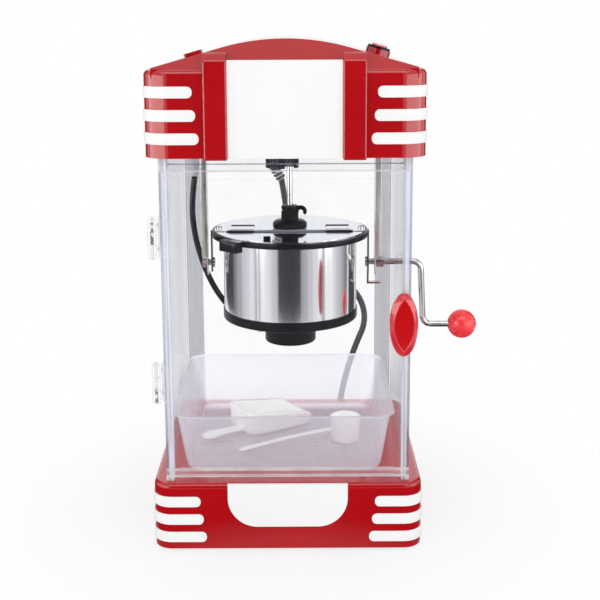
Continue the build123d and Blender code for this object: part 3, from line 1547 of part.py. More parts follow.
with BuildPart() as cord_gland:
    with BuildSketch(Plane.XZ.offset(housing_wall + gland_root - gland_wall)):
        with Locations((gland_x, gland_z)):
            Circle(gland_radius)
    extrude(amount=-(housing_wall + gland_standoff))
    with BuildSketch(Plane.XZ.offset(housing_wall - gland_wall)):
        with Locations((gland_x, gland_z)):
            Circle(gland_flange)
    extrude(amount=0.6 * housing_wall)
    with BuildSketch(Plane.XZ.offset(-(gland_wall + trim_gap))):
        with Locations((gland_x, gland_z)):
            Circle(gland_elbow)
    extrude(amount=-gland_standoff)
    fillet(cord_gland.edges().group_by(Axis.Y)[-1], gland_radius / 2)
    for start, end, thick, thin in (
        (boot_top, boot_knee, gland_boot, gland_knee),
        (boot_knee, boot_end, gland_knee, mains_radius + boot_wall),
    ):
        with BuildSketch(Plane(origin=start, z_dir=end - start)):
            Circle(thick)
        with BuildSketch(Plane(origin=end, z_dir=end - start)):
            Circle(thin)
        loft()
cord_gland.part.label = "cord_gland"
export_step(cord_gland.part, "parts/cord_gland.step")

gate_end = ceiling_underside - gate_flange_height - gate_length
with BuildPart() as kettle_cord_gland:
    with BuildSketch(Plane.XY.offset(ceiling_underside)):
        with Locations((gate_x, gate_y)):
            Circle(gate_flange)
    extrude(amount=-gate_flange_height)
    with BuildSketch(Plane.XY.offset(ceiling_underside)):
        with Locations((gate_x, gate_y)):
            Circle(gate_sleeve)
    extrude(amount=ceiling_thickness + gate_nut_height)
    with BuildSketch(Plane.XY.offset(ceiling_top)):
        with Locations((gate_x, gate_y)):
            RegularPolygon(gate_nut, 6)
    extrude(amount=gate_nut_height)
    with BuildSketch(Plane.XY.offset(gate_end)):
        with Locations((gate_x, gate_y)):
            Circle(kettle_cord_radius + boot_wall)
    with BuildSketch(Plane.XY.offset(ceiling_underside - gate_flange_height)):
        with Locations((gate_x, gate_y)):
            Circle(gate_boot)
    loft()
kettle_cord_gland.part.label = "kettle_cord_gland"
export_step(kettle_cord_gland.part, "parts/kettle_cord_gland.step")


def cord_tube(points, radius):
    """A cord of straight runs joined by tangent arcs, each as large as its two runs allow."""
    route = [Vector(*point) for point in points]
    radii = []
    for before, corner, after in zip(route, route[1:], route[2:]):
        turn = radians((corner - before).get_angle(after - corner))
        radii.append(run_share * min((corner - before).length, (after - corner).length) / tan(turn / 2))
    print("cord radii", [round(bend, 1) for bend in radii])
    with BuildPart() as cord:
        with BuildLine() as path:
            FilletPolyline(*route, radius=radii)
        with BuildSketch(Plane(origin=route[0], z_dir=route[1] - route[0])):
            Circle(radius)
        sweep(path=path.line)
    length = sum(edge.length for edge in path.line.edges())
    share = cord.part.volume / (pi * radius**2 * length)
    print("cord length", round(length, 1), "volume share", round(share, 4))
    return cord.part


mains_route = [
    (-8, rear_line, 328),
    (-3.5, rear_line, 303),
    (-1, rear_line, 272),
    (14, rear_line, 242),
    (44, rear_line, 222),
    (71, rear_line, 203),
    (86, rear_line, 182),
    (89, rear_line, 157),
    (78, rear_line, 132),
    (69, rear_line, 104),
    (61.5, rear_line, 74),
    (57.5, rear_line + 1.5, 46),
    (56.5, rear_line + 6.5, 22),
    (56, rear_line + 22.5, 9),
]
tail_route = [
    (-23, coil_y + 11, 5),
    (-36, coil_y - 8, 6),
    (-55, coil_y - 23, 7.2),
    (-74, coil_y - 29, 7.6),
]
kettle_cord_route = [
    (-98, 37, 344.5),
    (-101, 37, 322),
    (-101.2, 37, 296),
    (-96, 37, 266),
    (-87, 38, 239),
    (-77, 41, 218),
    (-65, 42, 201.5),
    (-54, 34, 192.5),
    (-45, 27.4, 190),
    (-35.8, 22.1, 190),
]

mains_run = cord_tube(mains_route, mains_radius)
mains_tail = cord_tube(tail_route, mains_radius)
with BuildPart() as mains_cord:
    add(mains_run)
    add(mains_tail)
mains_cord.part.label = "mains_cord"
export_step(mains_cord.part, "parts/mains_cord.step")

kettle_run = cord_tube(kettle_cord_route, kettle_cord_radius)
with BuildPart() as kettle_cord:
    add(kettle_run)
kettle_cord.part.label = "kettle_cord"
export_step(kettle_cord.part, "parts/kettle_cord.step")

with BuildPart() as mains_coil:
    with BuildSketch():
        with Locations((coil_x, coil_y)):
            Circle(coil_mid_radius + coil_band / 2)
            Circle(coil_mid_radius - coil_band / 2, mode=Mode.SUBTRACT)
    extrude(amount=coil_height)
    fillet(mains_coil.edges().group_by(Axis.Z)[-1], coil_round)
mains_coil.part.label = "mains_coil"
export_step(mains_coil.part, "parts/mains_coil.step")

plug_end = Vector(*tail_route[-1])
plug_axis = Vector(-1, 0, 0)
plug_nose = plug_end.X - plug_length
plug_shoulder = plug_end.X - 0.8 * plug_nose_length
with BuildPart() as plug_body:
    with BuildSketch(Plane(origin=plug_end, z_dir=plug_axis)):
        Circle(mains_radius + 2 * boot_wall)
    with BuildSketch(Plane(origin=plug_end + plug_axis * plug_nose_length, z_dir=plug_axis)):
        Circle(plug_height / 2)
    loft()
    with BuildSketch(Plane.XY.offset(plug_end.Z - plug_height / 2)):
        with Locations(((plug_shoulder + plug_nose) / 2, plug_end.Y)):
            Rectangle(plug_shoulder - plug_nose, plug_width)
    extrude(amount=plug_height)
    fillet(plug_body.edges().filter_by(Axis.X), plug_round)
plug_body.part.label = "plug_body"
export_step(plug_body.part, "parts/plug_body.step")

with BuildPart() as plug_pins:
    for side in (-1, 1):
        with BuildSketch(Plane.YZ.offset(plug_nose)):
            with Locations((plug_end.Y + side * pin_spacing / 2, plug_end.Z)):
                Rectangle(pin_thickness, pin_width)
        extrude(amount=-pin_length)
plug_pins.part.label = "plug_pins"
export_step(plug_pins.part, "parts/plug_pins.step")
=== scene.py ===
import bmesh
import bpy
import numpy as np
from math import pi, radians
from mathutils import Matrix, Vector


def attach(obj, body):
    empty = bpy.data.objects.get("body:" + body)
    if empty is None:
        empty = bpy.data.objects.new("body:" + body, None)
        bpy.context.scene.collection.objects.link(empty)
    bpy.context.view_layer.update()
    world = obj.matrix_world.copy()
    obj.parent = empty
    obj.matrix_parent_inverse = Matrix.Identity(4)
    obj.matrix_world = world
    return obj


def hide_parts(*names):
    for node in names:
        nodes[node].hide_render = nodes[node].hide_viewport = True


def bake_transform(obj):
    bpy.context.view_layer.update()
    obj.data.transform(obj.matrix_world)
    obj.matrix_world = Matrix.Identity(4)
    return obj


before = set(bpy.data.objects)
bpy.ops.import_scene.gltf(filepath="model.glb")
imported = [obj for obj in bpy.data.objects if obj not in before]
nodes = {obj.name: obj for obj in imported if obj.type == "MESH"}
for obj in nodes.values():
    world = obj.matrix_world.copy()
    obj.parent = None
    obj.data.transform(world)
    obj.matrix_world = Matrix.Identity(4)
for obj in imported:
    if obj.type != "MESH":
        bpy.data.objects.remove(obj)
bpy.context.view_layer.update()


def addObject(name, data):
    item = bpy.data.objects.new(name, data)
    bpy.context.scene.collection.objects.link(item)
    return item


# camera: a little right of the middle and just above the roof, looking 10.7 degrees down
cameraLook = {
    "place": (0.01304, -1.11787, 0.50708),
    "down": 10.72,
    "roll": -0.27,
    "lens": 66.14,
    "sensor": 36,
    "shift": -0.12,
    "sees": (0.05, 60),
}


def placeCamera(look):
    data = bpy.data.cameras.new("camera")
    data.lens = look["lens"]
    data.sensor_width = look["sensor"]
    data.shift_y = look["shift"]
    data.clip_start, data.clip_end = look["sees"]
    camera = addObject("camera", data)
    pitch = Matrix.Rotation(radians(90 - look["down"]), 4, "X")
    roll = Matrix.Rotation(radians(look["roll"]), 4, "Z")
    camera.matrix_world = Matrix.Translation(look["place"]) @ pitch @ roll
    bpy.context.scene.camera = camera


placeCamera(cameraLook)
print("camera placed")


# node helpers for materials
def newMaterial(name):
    material = bpy.data.materials.new(name)
    material.use_nodes = True
    tree = material.node_tree
    return material, tree, tree.nodes["Principled BSDF"]


def setInputs(node, **inputs):
    # an underscore stands for a space in a socket's name
    for key, value in inputs.items():
        node.inputs[key.replace("_", " ")].default_value = value
    return node


def addNode(tree, kind, **inputs):
    return setInputs(tree.nodes.new(kind), **inputs)


def feed(tree, node, *values):
    # numbers go into the node's sockets, outputs of other nodes are linked to them, in order
    for socket, value in zip(node.inputs, values):
        if isinstance(value, (int, float)):
            socket.default_value = value
        elif value is not None:
            tree.links.new(value, socket)
    return node.outputs[0]


def mathOf(tree, operation, first, second=None):
    node = tree.nodes.new("ShaderNodeMath")
    node.operation = operation
    return feed(tree, node, first, second)


def times(tree, first, second):
    return mathOf(tree, "MULTIPLY", first, second)


def mixShader(tree, factor, first, second):
    return feed(tree, tree.nodes.new("ShaderNodeMixShader"), factor, first, second)


def setSurface(tree, output):
    tree.links.new(output, tree.nodes["Material Output"].inputs["Surface"])


def objectCoords(tree, scale=(1, 1, 1)):
    coords = tree.nodes.new("ShaderNodeTexCoord")
    mapping = addNode(tree, "ShaderNodeMapping", Scale=scale)
    tree.links.new(coords.outputs["Object"], mapping.inputs["Vector"])
    return mapping.outputs["Vector"]


def placeOf(tree):
    split = tree.nodes.new("ShaderNodeSeparateXYZ")
    tree.links.new(objectCoords(tree), split.inputs[0])
    return split.outputs


def noiseFactor(tree, vector, scale, detail=4, roughness=0.5):
    noise = addNode(tree, "ShaderNodeTexNoise", Scale=scale, Detail=detail, Roughness=roughness)
    tree.links.new(vector, noise.inputs["Vector"])
    return noise.outputs["Fac"]


def ramp(tree, factor, stops):
    node = tree.nodes.new("ShaderNodeValToRGB")
    elements = node.color_ramp.elements
    for index, (place, colour) in enumerate(stops):
        element = elements[index] if index < 2 else elements.new(place)
        element.position = place
        element.color = (*colour, 1)
    tree.links.new(factor, node.inputs["Fac"])
    return node.outputs["Color"]


def shadeOf(tint, share):
    return tuple(part * share for part in tint)


def spread(tree, factor, low, high):
    # turns 0 to 1 into low to high
    node = addNode(tree, "ShaderNodeMapRange", To_Min=low, To_Max=high)
    tree.links.new(factor, node.inputs["Value"])
    return node.outputs["Result"]


def risesBetween(tree, value, start, end):
    # 0 before start, 1 after end
    node = addNode(tree, "ShaderNodeMapRange", From_Min=start, From_Max=end)
    tree.links.new(value, node.inputs["Value"])
    return node.outputs["Result"]


def bandBetween(tree, value, low, high, soft):
    # 1 between low and high, 0 outside, with soft edges
    after = risesBetween(tree, value, low - soft, low + soft)
    before = risesBetween(tree, value, high + soft, high - soft)
    return times(tree, after, before)


def bumpFrom(tree, shader, height, strength, distance):
    node = addNode(tree, "ShaderNodeBump", Strength=strength, Distance=distance)
    tree.links.new(height, node.inputs["Height"])
    tree.links.new(node.outputs["Normal"], shader.inputs["Normal"])


def mottled(tree, shader, vector, scale, dark, light):
    # a base colour that wanders between two shades
    tone = ramp(tree, noiseFactor(tree, vector, scale, 5), [(0.3, dark), (0.7, light)])
    tree.links.new(tone, shader.inputs["Base Color"])


def unevenGloss(tree, shader, factor, low, high):
    tree.links.new(spread(tree, factor, low, high), shader.inputs["Roughness"])


def lighterForLight(tree, amount, share):
    # light on its way to another surface meets only a share of the veil that the eye sees
    path = tree.nodes.new("ShaderNodeLightPath").outputs
    passing = mathOf(tree, "MAXIMUM", path["Is Shadow Ray"], path["Is Diffuse Ray"])
    return times(tree, amount, spread(tree, passing, 1, share))


# moulded plastics: a little mottling, uneven gloss and a fine skin
plasticLook = {"mottles": 14, "glossPatches": 60, "glossRange": (0.8, 1.3), "skinDepth": 0.0004, "coatBlur": 0.08}
plastics = {
    "glossRed": {
        "dark": (0.42, 0.0003, 0.003), "light": (0.48, 0.0006, 0.005), "rough": 0.2,
        "grain": 700, "skin": 0.012, "coat": 1.0, "specular": 0.1,
    },
    # the knob's own red painted darker for its facet, a painted dark reflection
    "paintedFacetRed": {
        "dark": (0.52, 0.0004, 0.003), "light": (0.58, 0.001, 0.005), "rough": 0.2,
        "grain": 700, "skin": 0.02, "coat": 0.5, "specular": 0.1,
    },
    "brightRed": {
        "dark": (0.62, 0.012, 0.022), "light": (0.70, 0.018, 0.030), "rough": 0.2,
        "grain": 700, "skin": 0.02, "coat": 1.0, "specular": 0.2,
    },
    "ballRed": {
        "dark": (0.90, 0.024, 0.036), "light": (0.95, 0.030, 0.042), "rough": 0.3,
        "grain": 500, "skin": 0.012, "coat": 0.3,
    },
    # the white trim's glow is painted light that brightens it
    "whiteTrim": {
        "dark": (0.88, 0.88, 0.88), "light": (0.90, 0.90, 0.90), "rough": 0.3,
        "grain": 700, "skin": 0.02, "specular": 0.1, "glow": 0.04,
    },
    "whiteLiner": {
        "dark": (0.80, 0.80, 0.80), "light": (0.85, 0.85, 0.85), "rough": 0.4,
        "grain": 500, "skin": 0.03,
    },
    # the tools' glow is painted light that brightens them
    "milkyTool": {
        "dark": (0.88, 0.88, 0.89), "light": (0.91, 0.91, 0.91), "rough": 0.3,
        "grain": 500, "skin": 0.03, "glow": 0.14,
    },
    "paleBoot": {
        "dark": (0.50, 0.51, 0.55), "light": (0.60, 0.61, 0.65), "rough": 0.4,
        "grain": 500, "skin": 0.03,
    },
    "blackPlastic": {
        "dark": (0.006, 0.006, 0.009), "light": (0.010, 0.010, 0.014), "rough": 0.3,
        "grain": 1200, "skin": 0.08, "coat": 0.25, "specular": 0.03,
    },
    "softBlack": {
        "dark": (0.009, 0.010, 0.014), "light": (0.018, 0.020, 0.026), "rough": 0.4,
        "grain": 1500, "skin": 0.1, "coat": 0.1, "specular": 0.2,
    },
    "nylon": {
        "dark": (0.72, 0.71, 0.66), "light": (0.78, 0.77, 0.72), "rough": 0.45,
        "grain": 600, "skin": 0.05,
    },
}


def mouldedPlastic(name, dark, light, rough, grain, skin, coat=0.0, specular=0.5, glow=0.0):
    # grain is how fine the skin's bumps are, skin how strong; glow is painted light, an emission that stands in for
    # the light a whitish plastic scatters back
    material, tree, shader = newMaterial(name)
    vector = objectCoords(tree)
    mottled(tree, shader, vector, plasticLook["mottles"], dark, light)
    low, high = plasticLook["glossRange"]
    patches = noiseFactor(tree, vector, plasticLook["glossPatches"], 3)
    unevenGloss(tree, shader, patches, rough * low, rough * high)
    bumpFrom(tree, shader, noiseFactor(tree, vector, grain, 2), skin, plasticLook["skinDepth"])
    setInputs(shader, Coat_Weight=coat, Coat_Roughness=plasticLook["coatBlur"], Specular_IOR_Level=specular)
    # painted light: a faint emission that brightens the pale plastic
    if glow:
        setInputs(shader, Emission_Color=(*light, 1), Emission_Strength=glow)
    return material


# metals: stretch is how close the brush marks lie along each axis, so they run along the smallest
metalLook = {"mottles": 5, "glossPatches": 9, "glossRange": (0.7, 1.4), "brushMarks": 12, "brushDepth": 0.0002}
metals = {
    "potSteel": {
        "dark": (0.74, 0.74, 0.76), "light": (0.86, 0.86, 0.88), "rough": 0.10,
        "stretch": (60, 60, 0.5), "strength": 0.006,
    },
    "lidSteel": {
        "dark": (0.74, 0.76, 0.84), "light": (0.80, 0.82, 0.89), "rough": 0.06,
        "stretch": (30, 1, 1), "strength": 0.006,
    },
    "platedSteel": {
        "dark": (0.58, 0.56, 0.54), "light": (0.76, 0.74, 0.72), "rough": 0.28,
        "stretch": (40, 40, 4), "strength": 0.04,
    },
    "rodSteel": {
        "dark": (0.48, 0.47, 0.46), "light": (0.68, 0.67, 0.66), "rough": 0.14,
        "stretch": (40, 40, 4), "strength": 0.04,
    },
    "motorCan": {
        "dark": (0.38, 0.39, 0.40), "light": (0.48, 0.49, 0.50), "rough": 0.4,
        "stretch": (6, 6, 60), "strength": 0.1,
    },
    "bladeBrass": {
        "dark": (0.70, 0.60, 0.38), "light": (0.80, 0.70, 0.46), "rough": 0.25,
        "stretch": (4, 30, 30), "strength": 0.05,
    },
}


def brushedMetal(name, dark, light, rough, stretch, strength):
    material, tree, shader = newMaterial(name)
    vector = objectCoords(tree, stretch)
    mottled(tree, shader, vector, metalLook["mottles"], dark, light)
    low, high = metalLook["glossRange"]
    patches = noiseFactor(tree, vector, metalLook["glossPatches"], 4)
    unevenGloss(tree, shader, patches, rough * low, rough * high)
    marks = noiseFactor(tree, vector, metalLook["brushMarks"], 3)
    bumpFrom(tree, shader, marks, strength, metalLook["brushDepth"])
    setInputs(shader, Metallic=1)
    return material


# clear sheets: nearly invisible face on and greyer at a glancing angle, with darker streaks along the smallest
# stretch; the glancing grey and the streaks are painted reflections;
# a band is an axis with (low, high, soft, veil) where an edge or a folded rail shows more
sheetLook = {
    "streaks": 30,
    "streakEdges": (0.38, 0.60),
    "veilEdges": (0.36, 0.64),
    "veilRange": (0.72, 1.28),
    "glossPatches": 40,
    "glossRange": (0.7, 1.3),
    "shadowShare": 0.12,
}
sheets = {
    "clearWall": {
        "tint": (0.44, 0.48, 0.70), "faceOn": 0.004, "glancing": 0.42, "rough": 0.08,
        "stretch": (0.4, 9, 0.12), "shade": 0.35,
        "bands": (("Y", (0.1045, 0.112, 0.0006, 0.62)),),
    },
    "clearRear": {
        "tint": (0.88, 0.92, 1.0), "faceOn": 0.045, "glancing": 0.4, "rough": 0.08,
        "stretch": (1, 1, 1), "shade": 0.95,
    },
    "clearDoor": {
        "tint": (0.84, 0.85, 0.90), "faceOn": 0.003, "glancing": 0.5, "rough": 0.05,
        "stretch": (2, 2, 2), "shade": 0.8,
        # the bands along the rails are the rails' real edges, shown as painted highlight lines
        "bands": (
            ("Z", (0.0716, 0.0728, 0.0002, 0.75)),
            ("Z", (0.0776, 0.0800, 0.0003, 0.42)),
            ("Z", (0.0728, 0.0776, 0.0003, 0.12)),
            ("Z", (0.3694, 0.3706, 0.0002, 0.5)),
        ),
    },
    "clearHinge": {
        "tint": (0.92, 0.92, 0.95), "faceOn": 0.10, "glancing": 0.6, "rough": 0.12,
        "stretch": (4, 4, 1), "shade": 0.85, "curve": 1.8,
    },
}


def clearSheet(name, tint, faceOn, glancing, rough, stretch, shade, curve=3.0, bands=()):
    # shade is how dark the painted reflection streaks are, curve how late the sheet turns to its painted glancing
    # grey
    material, tree, shader = newMaterial(name)
    vector = objectCoords(tree, stretch)
    streaks = noiseFactor(tree, vector, sheetLook["streaks"], 3)
    first, last = sheetLook["streakEdges"]
    # painted reflections: darker streaks in the sheet's colour
    tone = ramp(tree, streaks, [(first, shadeOf(tint, shade)), (last, tint)])
    tree.links.new(tone, shader.inputs["Base Color"])
    facing = addNode(tree, "ShaderNodeLayerWeight", Blend=0.5).outputs["Facing"]
    bent = mathOf(tree, "POWER", facing, curve)
    thickness = spread(tree, risesBetween(tree, streaks, *sheetLook["veilEdges"]), *sheetLook["veilRange"])
    alpha = times(tree, spread(tree, bent, faceOn, glancing), thickness)
    place = placeOf(tree)
    for axis, (low, high, soft, veil) in bands:
        band = bandBetween(tree, mathOf(tree, "ABSOLUTE", place[axis]), low, high, soft)
        alpha = mathOf(tree, "MAXIMUM", alpha, times(tree, band, veil))
    tree.links.new(lighterForLight(tree, alpha, sheetLook["shadowShare"]), shader.inputs["Alpha"])
    low, high = sheetLook["glossRange"]
    patches = noiseFactor(tree, vector, sheetLook["glossPatches"], 2)
    unevenGloss(tree, shader, patches, rough * low, rough * high)
    return material


# clear corner channels in two painted tones: grey and streaked at the back, a painted shade with painted streak
# reflections, whitish at the front corners, a painted highlight; faint over and under the door
postLook = {
    # grey is the painted shade of the back, white the painted highlight of the front corners
    "grey": (0.33, 0.34, 0.46),
    "white": (0.86, 0.88, 0.97),
    "stretch": (14, 14, 0.12),
    "rearFrom": (0.05, 0.10),
    "cornerFrom": (0.1085, 0.1105),
    "rearVeil": 0.30,
    "cornerVeil": 0.62,
    "leastVeil": 0.05,
    "line": (0.3761, 0.3773, 0.0002),
    "lineVeil": 0.5,
    "gloss": (0.08, 0.16),
}


def postSheet(name, look):
    material, tree, shader = newMaterial(name)
    streaks = noiseFactor(tree, objectCoords(tree, look["stretch"]), 30, 4, 0.7)
    place = placeOf(tree)
    rear = risesBetween(tree, place["Y"], *look["rearFrom"])
    outward = risesBetween(tree, mathOf(tree, "ABSOLUTE", place["X"]), *look["cornerFrom"])
    corner = times(tree, outward, mathOf(tree, "SUBTRACT", 1, rear))
    # painted shade with streaks at the back, painted highlight on the front corners
    shadedTone = ramp(tree, streaks, [(0.42, shadeOf(look["grey"], 0.3)), (0.58, look["grey"])])
    highlightTone = ramp(tree, streaks, [(0.42, shadeOf(look["white"], 0.55)), (0.56, look["white"])])
    tone = tree.nodes.new("ShaderNodeMix")
    tone.data_type = "RGBA"
    for socket, value in zip((0, 6, 7), (corner, shadedTone, highlightTone)):
        tree.links.new(value, tone.inputs[socket])
    tree.links.new(tone.outputs[2], shader.inputs["Base Color"])
    rearVeil = times(tree, rear, look["rearVeil"])
    cornerVeil = times(tree, corner, look["cornerVeil"])
    alpha = mathOf(tree, "ADD", mathOf(tree, "ADD", rearVeil, cornerVeil), look["leastVeil"])
    alpha = times(tree, alpha, spread(tree, streaks, 0.7, 1.3))
    lineVeil = mathOf(tree, "SUBTRACT", look["lineVeil"], rear)
    line = times(tree, bandBetween(tree, place["Z"], *look["line"]), lineVeil)
    alpha = mathOf(tree, "MAXIMUM", alpha, line)
    tree.links.new(lighterForLight(tree, alpha, sheetLook["shadowShare"]), shader.inputs["Alpha"])
    unevenGloss(tree, shader, streaks, *look["gloss"])
    return material


# hinge pins: pale, with the metal showing through in one stretch of each, painted dark in patches as its reflection
pinLook = {
    "pale": (0.80, 0.80, 0.82),
    "dark": (0.03, 0.03, 0.03),
    "glintStretches": ((0.1475, 0.1625, 0.0004), (0.3015, 0.3225, 0.0004)),
    "glintPatches": 260,
    "glintAbove": 0.46,
    "gloss": (0.2, 0.35),
}


def pinFinish(name, look):
    material, tree, shader = newMaterial(name)
    vector = objectCoords(tree)
    height = placeOf(tree)["Z"]
    lower, upper = [bandBetween(tree, height, *stretch) for stretch in look["glintStretches"]]
    patches = mathOf(tree, "GREATER_THAN", noiseFactor(tree, vector, look["glintPatches"], 3), look["glintAbove"])
    # painted reflection: dark patches where the metal glints dark
    mask = times(tree, mathOf(tree, "ADD", lower, upper), patches)
    tree.links.new(ramp(tree, mask, [(0.0, look["pale"]), (1.0, look["dark"])]), shader.inputs["Base Color"])
    unevenGloss(tree, shader, noiseFactor(tree, vector, 90, 2), *look["gloss"])
    return material


# milky plastic of the tray: scatters light from both sides and lets a blurred part through, with a painted glow that
# is faint at the front and strong on the far wall;
# its floor, its lip and its far wall hide more than the other walls
milkyLook = {
    "tint": (0.79, 0.81, 0.90),
    "faceOn": 0.16,
    "glancing": 0.55,
    "scatter": 0.45,
    "floor": (0.0735, 0.0715),
    "floorVeil": 0.82,
    "lip": (0.1264, 0.1272),
    "lipVeil": 0.55,
    "farWall": (0.080, 0.092),
    "farVeil": 0.34,
    # glow is painted light, the emission at the front and on the far wall
    "glow": (0.07, 0.66),
    "gloss": (0.2, 0.34),
    "shadowShare": 0.25,
}


def milkySheet(name, look):
    material, tree, shader = newMaterial(name)
    tint = look["tint"]
    vector = objectCoords(tree)
    mottled(tree, shader, vector, 25, shadeOf(tint, 0.97), tint)
    unevenGloss(tree, shader, noiseFactor(tree, vector, 80, 2), *look["gloss"])
    bumpFrom(tree, shader, noiseFactor(tree, vector, 350, 3), 0.05, 0.0003)
    place = placeOf(tree)
    far = risesBetween(tree, place["Y"], *look["farWall"])
    # painted light: an emission, faint at the front and strong on the far wall, that stands in for light from behind
    # scattered in the plastic
    setInputs(shader, Emission_Color=(*tint, 1))
    tree.links.new(spread(tree, far, *look["glow"]), shader.inputs["Emission Strength"])
    behind = addNode(tree, "ShaderNodeBsdfTranslucent", Color=(*tint, 1))
    body = mixShader(tree, look["scatter"], shader.outputs[0], behind.outputs[0])
    facing = addNode(tree, "ShaderNodeLayerWeight", Blend=0.5).outputs["Facing"]
    veil = spread(tree, facing, look["faceOn"], look["glancing"])
    floor = times(tree, risesBetween(tree, place["Z"], *look["floor"]), look["floorVeil"])
    lip = times(tree, risesBetween(tree, place["Z"], *look["lip"]), look["lipVeil"])
    for extra in (floor, lip, times(tree, far, look["farVeil"])):
        veil = mathOf(tree, "MAXIMUM", veil, extra)
    clear = tree.nodes.new("ShaderNodeBsdfTransparent").outputs[0]
    setSurface(tree, mixShader(tree, lighterForLight(tree, veil, look["shadowShare"]), clear, body))
    return material


finishes = {name: mouldedPlastic(name, **look) for name, look in plastics.items()}
finishes.update({name: brushedMetal(name, **look) for name, look in metals.items()})
finishes.update({name: clearSheet(name, **look) for name, look in sheets.items()})
finishes["clearPost"] = postSheet("clearPost", postLook)
finishes["hingePin"] = pinFinish("hingePin", pinLook)
finishes["mistTray"] = milkySheet("mistTray", milkyLook)

nodeFinish = {
    "glossRed": "base_housing cover_housing pilasters roof_vent",
    "brightRed": "door_handle switch_rocker",
    "ballRed": "crank_ball",
    "whiteTrim": "base_stripes cover_stripes base_panel sign_panel",
    "clearWall": "left_wall right_wall",
    "clearDoor": "door_panel crank_bushing",
    "clearRear": "rear_wall",
    "clearPost": "frame_posts",
    "clearHinge": "fixed_hinge_leaves door_hinge_leaves",
    "mistTray": "tub",
    "milkyTool": "scoop measuring_spoon",
    "hingePin": "hinge_pins",
    "whiteLiner": "ceiling_plate",
    "blackPlastic": "gearbox_case kettle_rim kettle_base heater_housing grip_block stirrer_hub lid_knob switch_bezel",
    "paleBoot": "kettle_cord_gland",
    "softBlack": "base_plate rubber_feet cord_gland plug_body mains_coil mains_cord kettle_cord",
    "potSteel": "kettle_pot",
    "lidSteel": "rear_lid front_lid lid_straps",
    "platedSteel": "left_hanger right_hanger kettle_screws case_screws stir_arm heating_element",
    "rodSteel": "crank_rod stirrer_shaft kettle_ears pivot_pin thumb_screws",
    "motorCan": "drive_motor",
    "nylon": "drive_gear motor_pinion",
    "bladeBrass": "plug_pins",
}


def dressNodes():
    for finish, names in nodeFinish.items():
        for name in names.split():
            item = nodes[name]
            item.data.materials.clear()
            item.data.materials.append(finishes[finish])


dressNodes()
print("finishes on the solid parts")


# meshes from whole arrays
def gridFaces(rows, columns):
    # quads between neighbouring rows and columns, the last column joined to the first
    row = np.arange(rows - 1)[:, None]
    column = np.arange(columns)[None, :]
    after = (column + 1) % columns
    corners = (
        row * columns + column,
        row * columns + after,
        (row + 1) * columns + after,
        (row + 1) * columns + column,
    )
    return np.stack(np.broadcast_arrays(*corners), axis=-1).reshape(-1, 4)


def gridPiece(name, grid, finish, turned=False):
    # a skin over rows of rings, shut by a flat face on the first ring and on the last
    rows, columns = grid.shape[:2]
    faces = gridFaces(rows, columns).tolist()
    faces.append(list(range(columns))[::-1])
    faces.append(list(range((rows - 1) * columns, rows * columns)))
    if turned:
        faces = [face[::-1] for face in faces]
    mesh = bpy.data.meshes.new(name)
    mesh.from_pydata(grid.reshape(-1, 3).tolist(), [], faces)
    mesh.polygons.foreach_set("use_smooth", np.ones(len(mesh.polygons), dtype=bool))
    mesh.materials.append(finishes[finish])
    mesh.update()
    return addObject(name, mesh)


def ringAngles(sides):
    return np.linspace(0, 2 * pi, sides, endpoint=False)


def turnedPiece(name, profile, centre, finish, sides=96, ripple=None):
    # each profile point (radius, height) swept round the upright axis through centre; ripple adds to the radius
    profile = np.array(profile)
    angle = ringAngles(sides)
    radius = np.repeat(profile[:, :1], sides, axis=1)
    if ripple is not None:
        radius = radius + ripple(angle[None, :], profile[:, 1:2])
    height = np.repeat(profile[:, 1:2], sides, axis=1)
    grid = np.stack((centre[0] + radius * np.cos(angle), centre[1] + radius * np.sin(angle), height), axis=-1)
    return gridPiece(name, grid, finish)


def roundedRing(halfWidth, halfDepth, corner, steps=14):
    # a rounded rectangle: each quarter is its corner's centre plus the corner radius times (cos, sin)
    angle = np.concatenate([np.linspace(quarter * pi / 2, (quarter + 1) * pi / 2, steps) for quarter in range(4)])
    signX = np.repeat((1, -1, -1, 1), steps)
    signY = np.repeat((1, 1, -1, -1), steps)
    x = signX * (halfWidth - corner) + corner * np.cos(angle)
    y = signY * (halfDepth - corner) + corner * np.sin(angle)
    return np.column_stack((x, y))


def flatRing(ring, middle, height):
    # an outline lying level at height, carried to middle
    return np.column_stack((ring[:, 0] + middle[0], ring[:, 1] + middle[1], np.full(len(ring), height)))


def facingRing(ring, middle, depth):
    # an outline standing upright at depth and facing the front, carried to middle
    return np.column_stack((ring[:, 0] + middle[0], np.full(len(ring), depth), ring[:, 1] + middle[1]))


def tubeAlong(name, path, radii, finish, sides=24):
    # circles of the given radii set square to the path
    forward = np.gradient(path, axis=0)
    forward /= np.linalg.norm(forward, axis=1, keepdims=True)
    across = np.cross(forward, np.array((0.31, 0.93, 0.2)))
    across /= np.linalg.norm(across, axis=1, keepdims=True)
    upward = np.cross(across, forward)
    angle = ringAngles(sides)[None, :, None]
    rings = across[:, None] * np.cos(angle) + upward[:, None] * np.sin(angle)
    return gridPiece(name, path[:, None] + rings * np.asarray(radii)[:, None, None], finish, turned=True)


# cords
def splineCurve(name, points, thickness=0.0):
    curve = bpy.data.curves.new(name, "CURVE")
    curve.dimensions = "3D"
    curve.resolution_u = 12
    curve.bevel_depth = thickness
    curve.bevel_resolution = 5
    curve.use_fill_caps = True
    spline = curve.splines.new("NURBS")
    spline.points.add(len(points) - 1)
    spline.points.foreach_set("co", np.column_stack((points, np.ones(len(points)))).ravel())
    spline.order_u = 3
    spline.use_endpoint_u = True
    return addObject(name, curve)


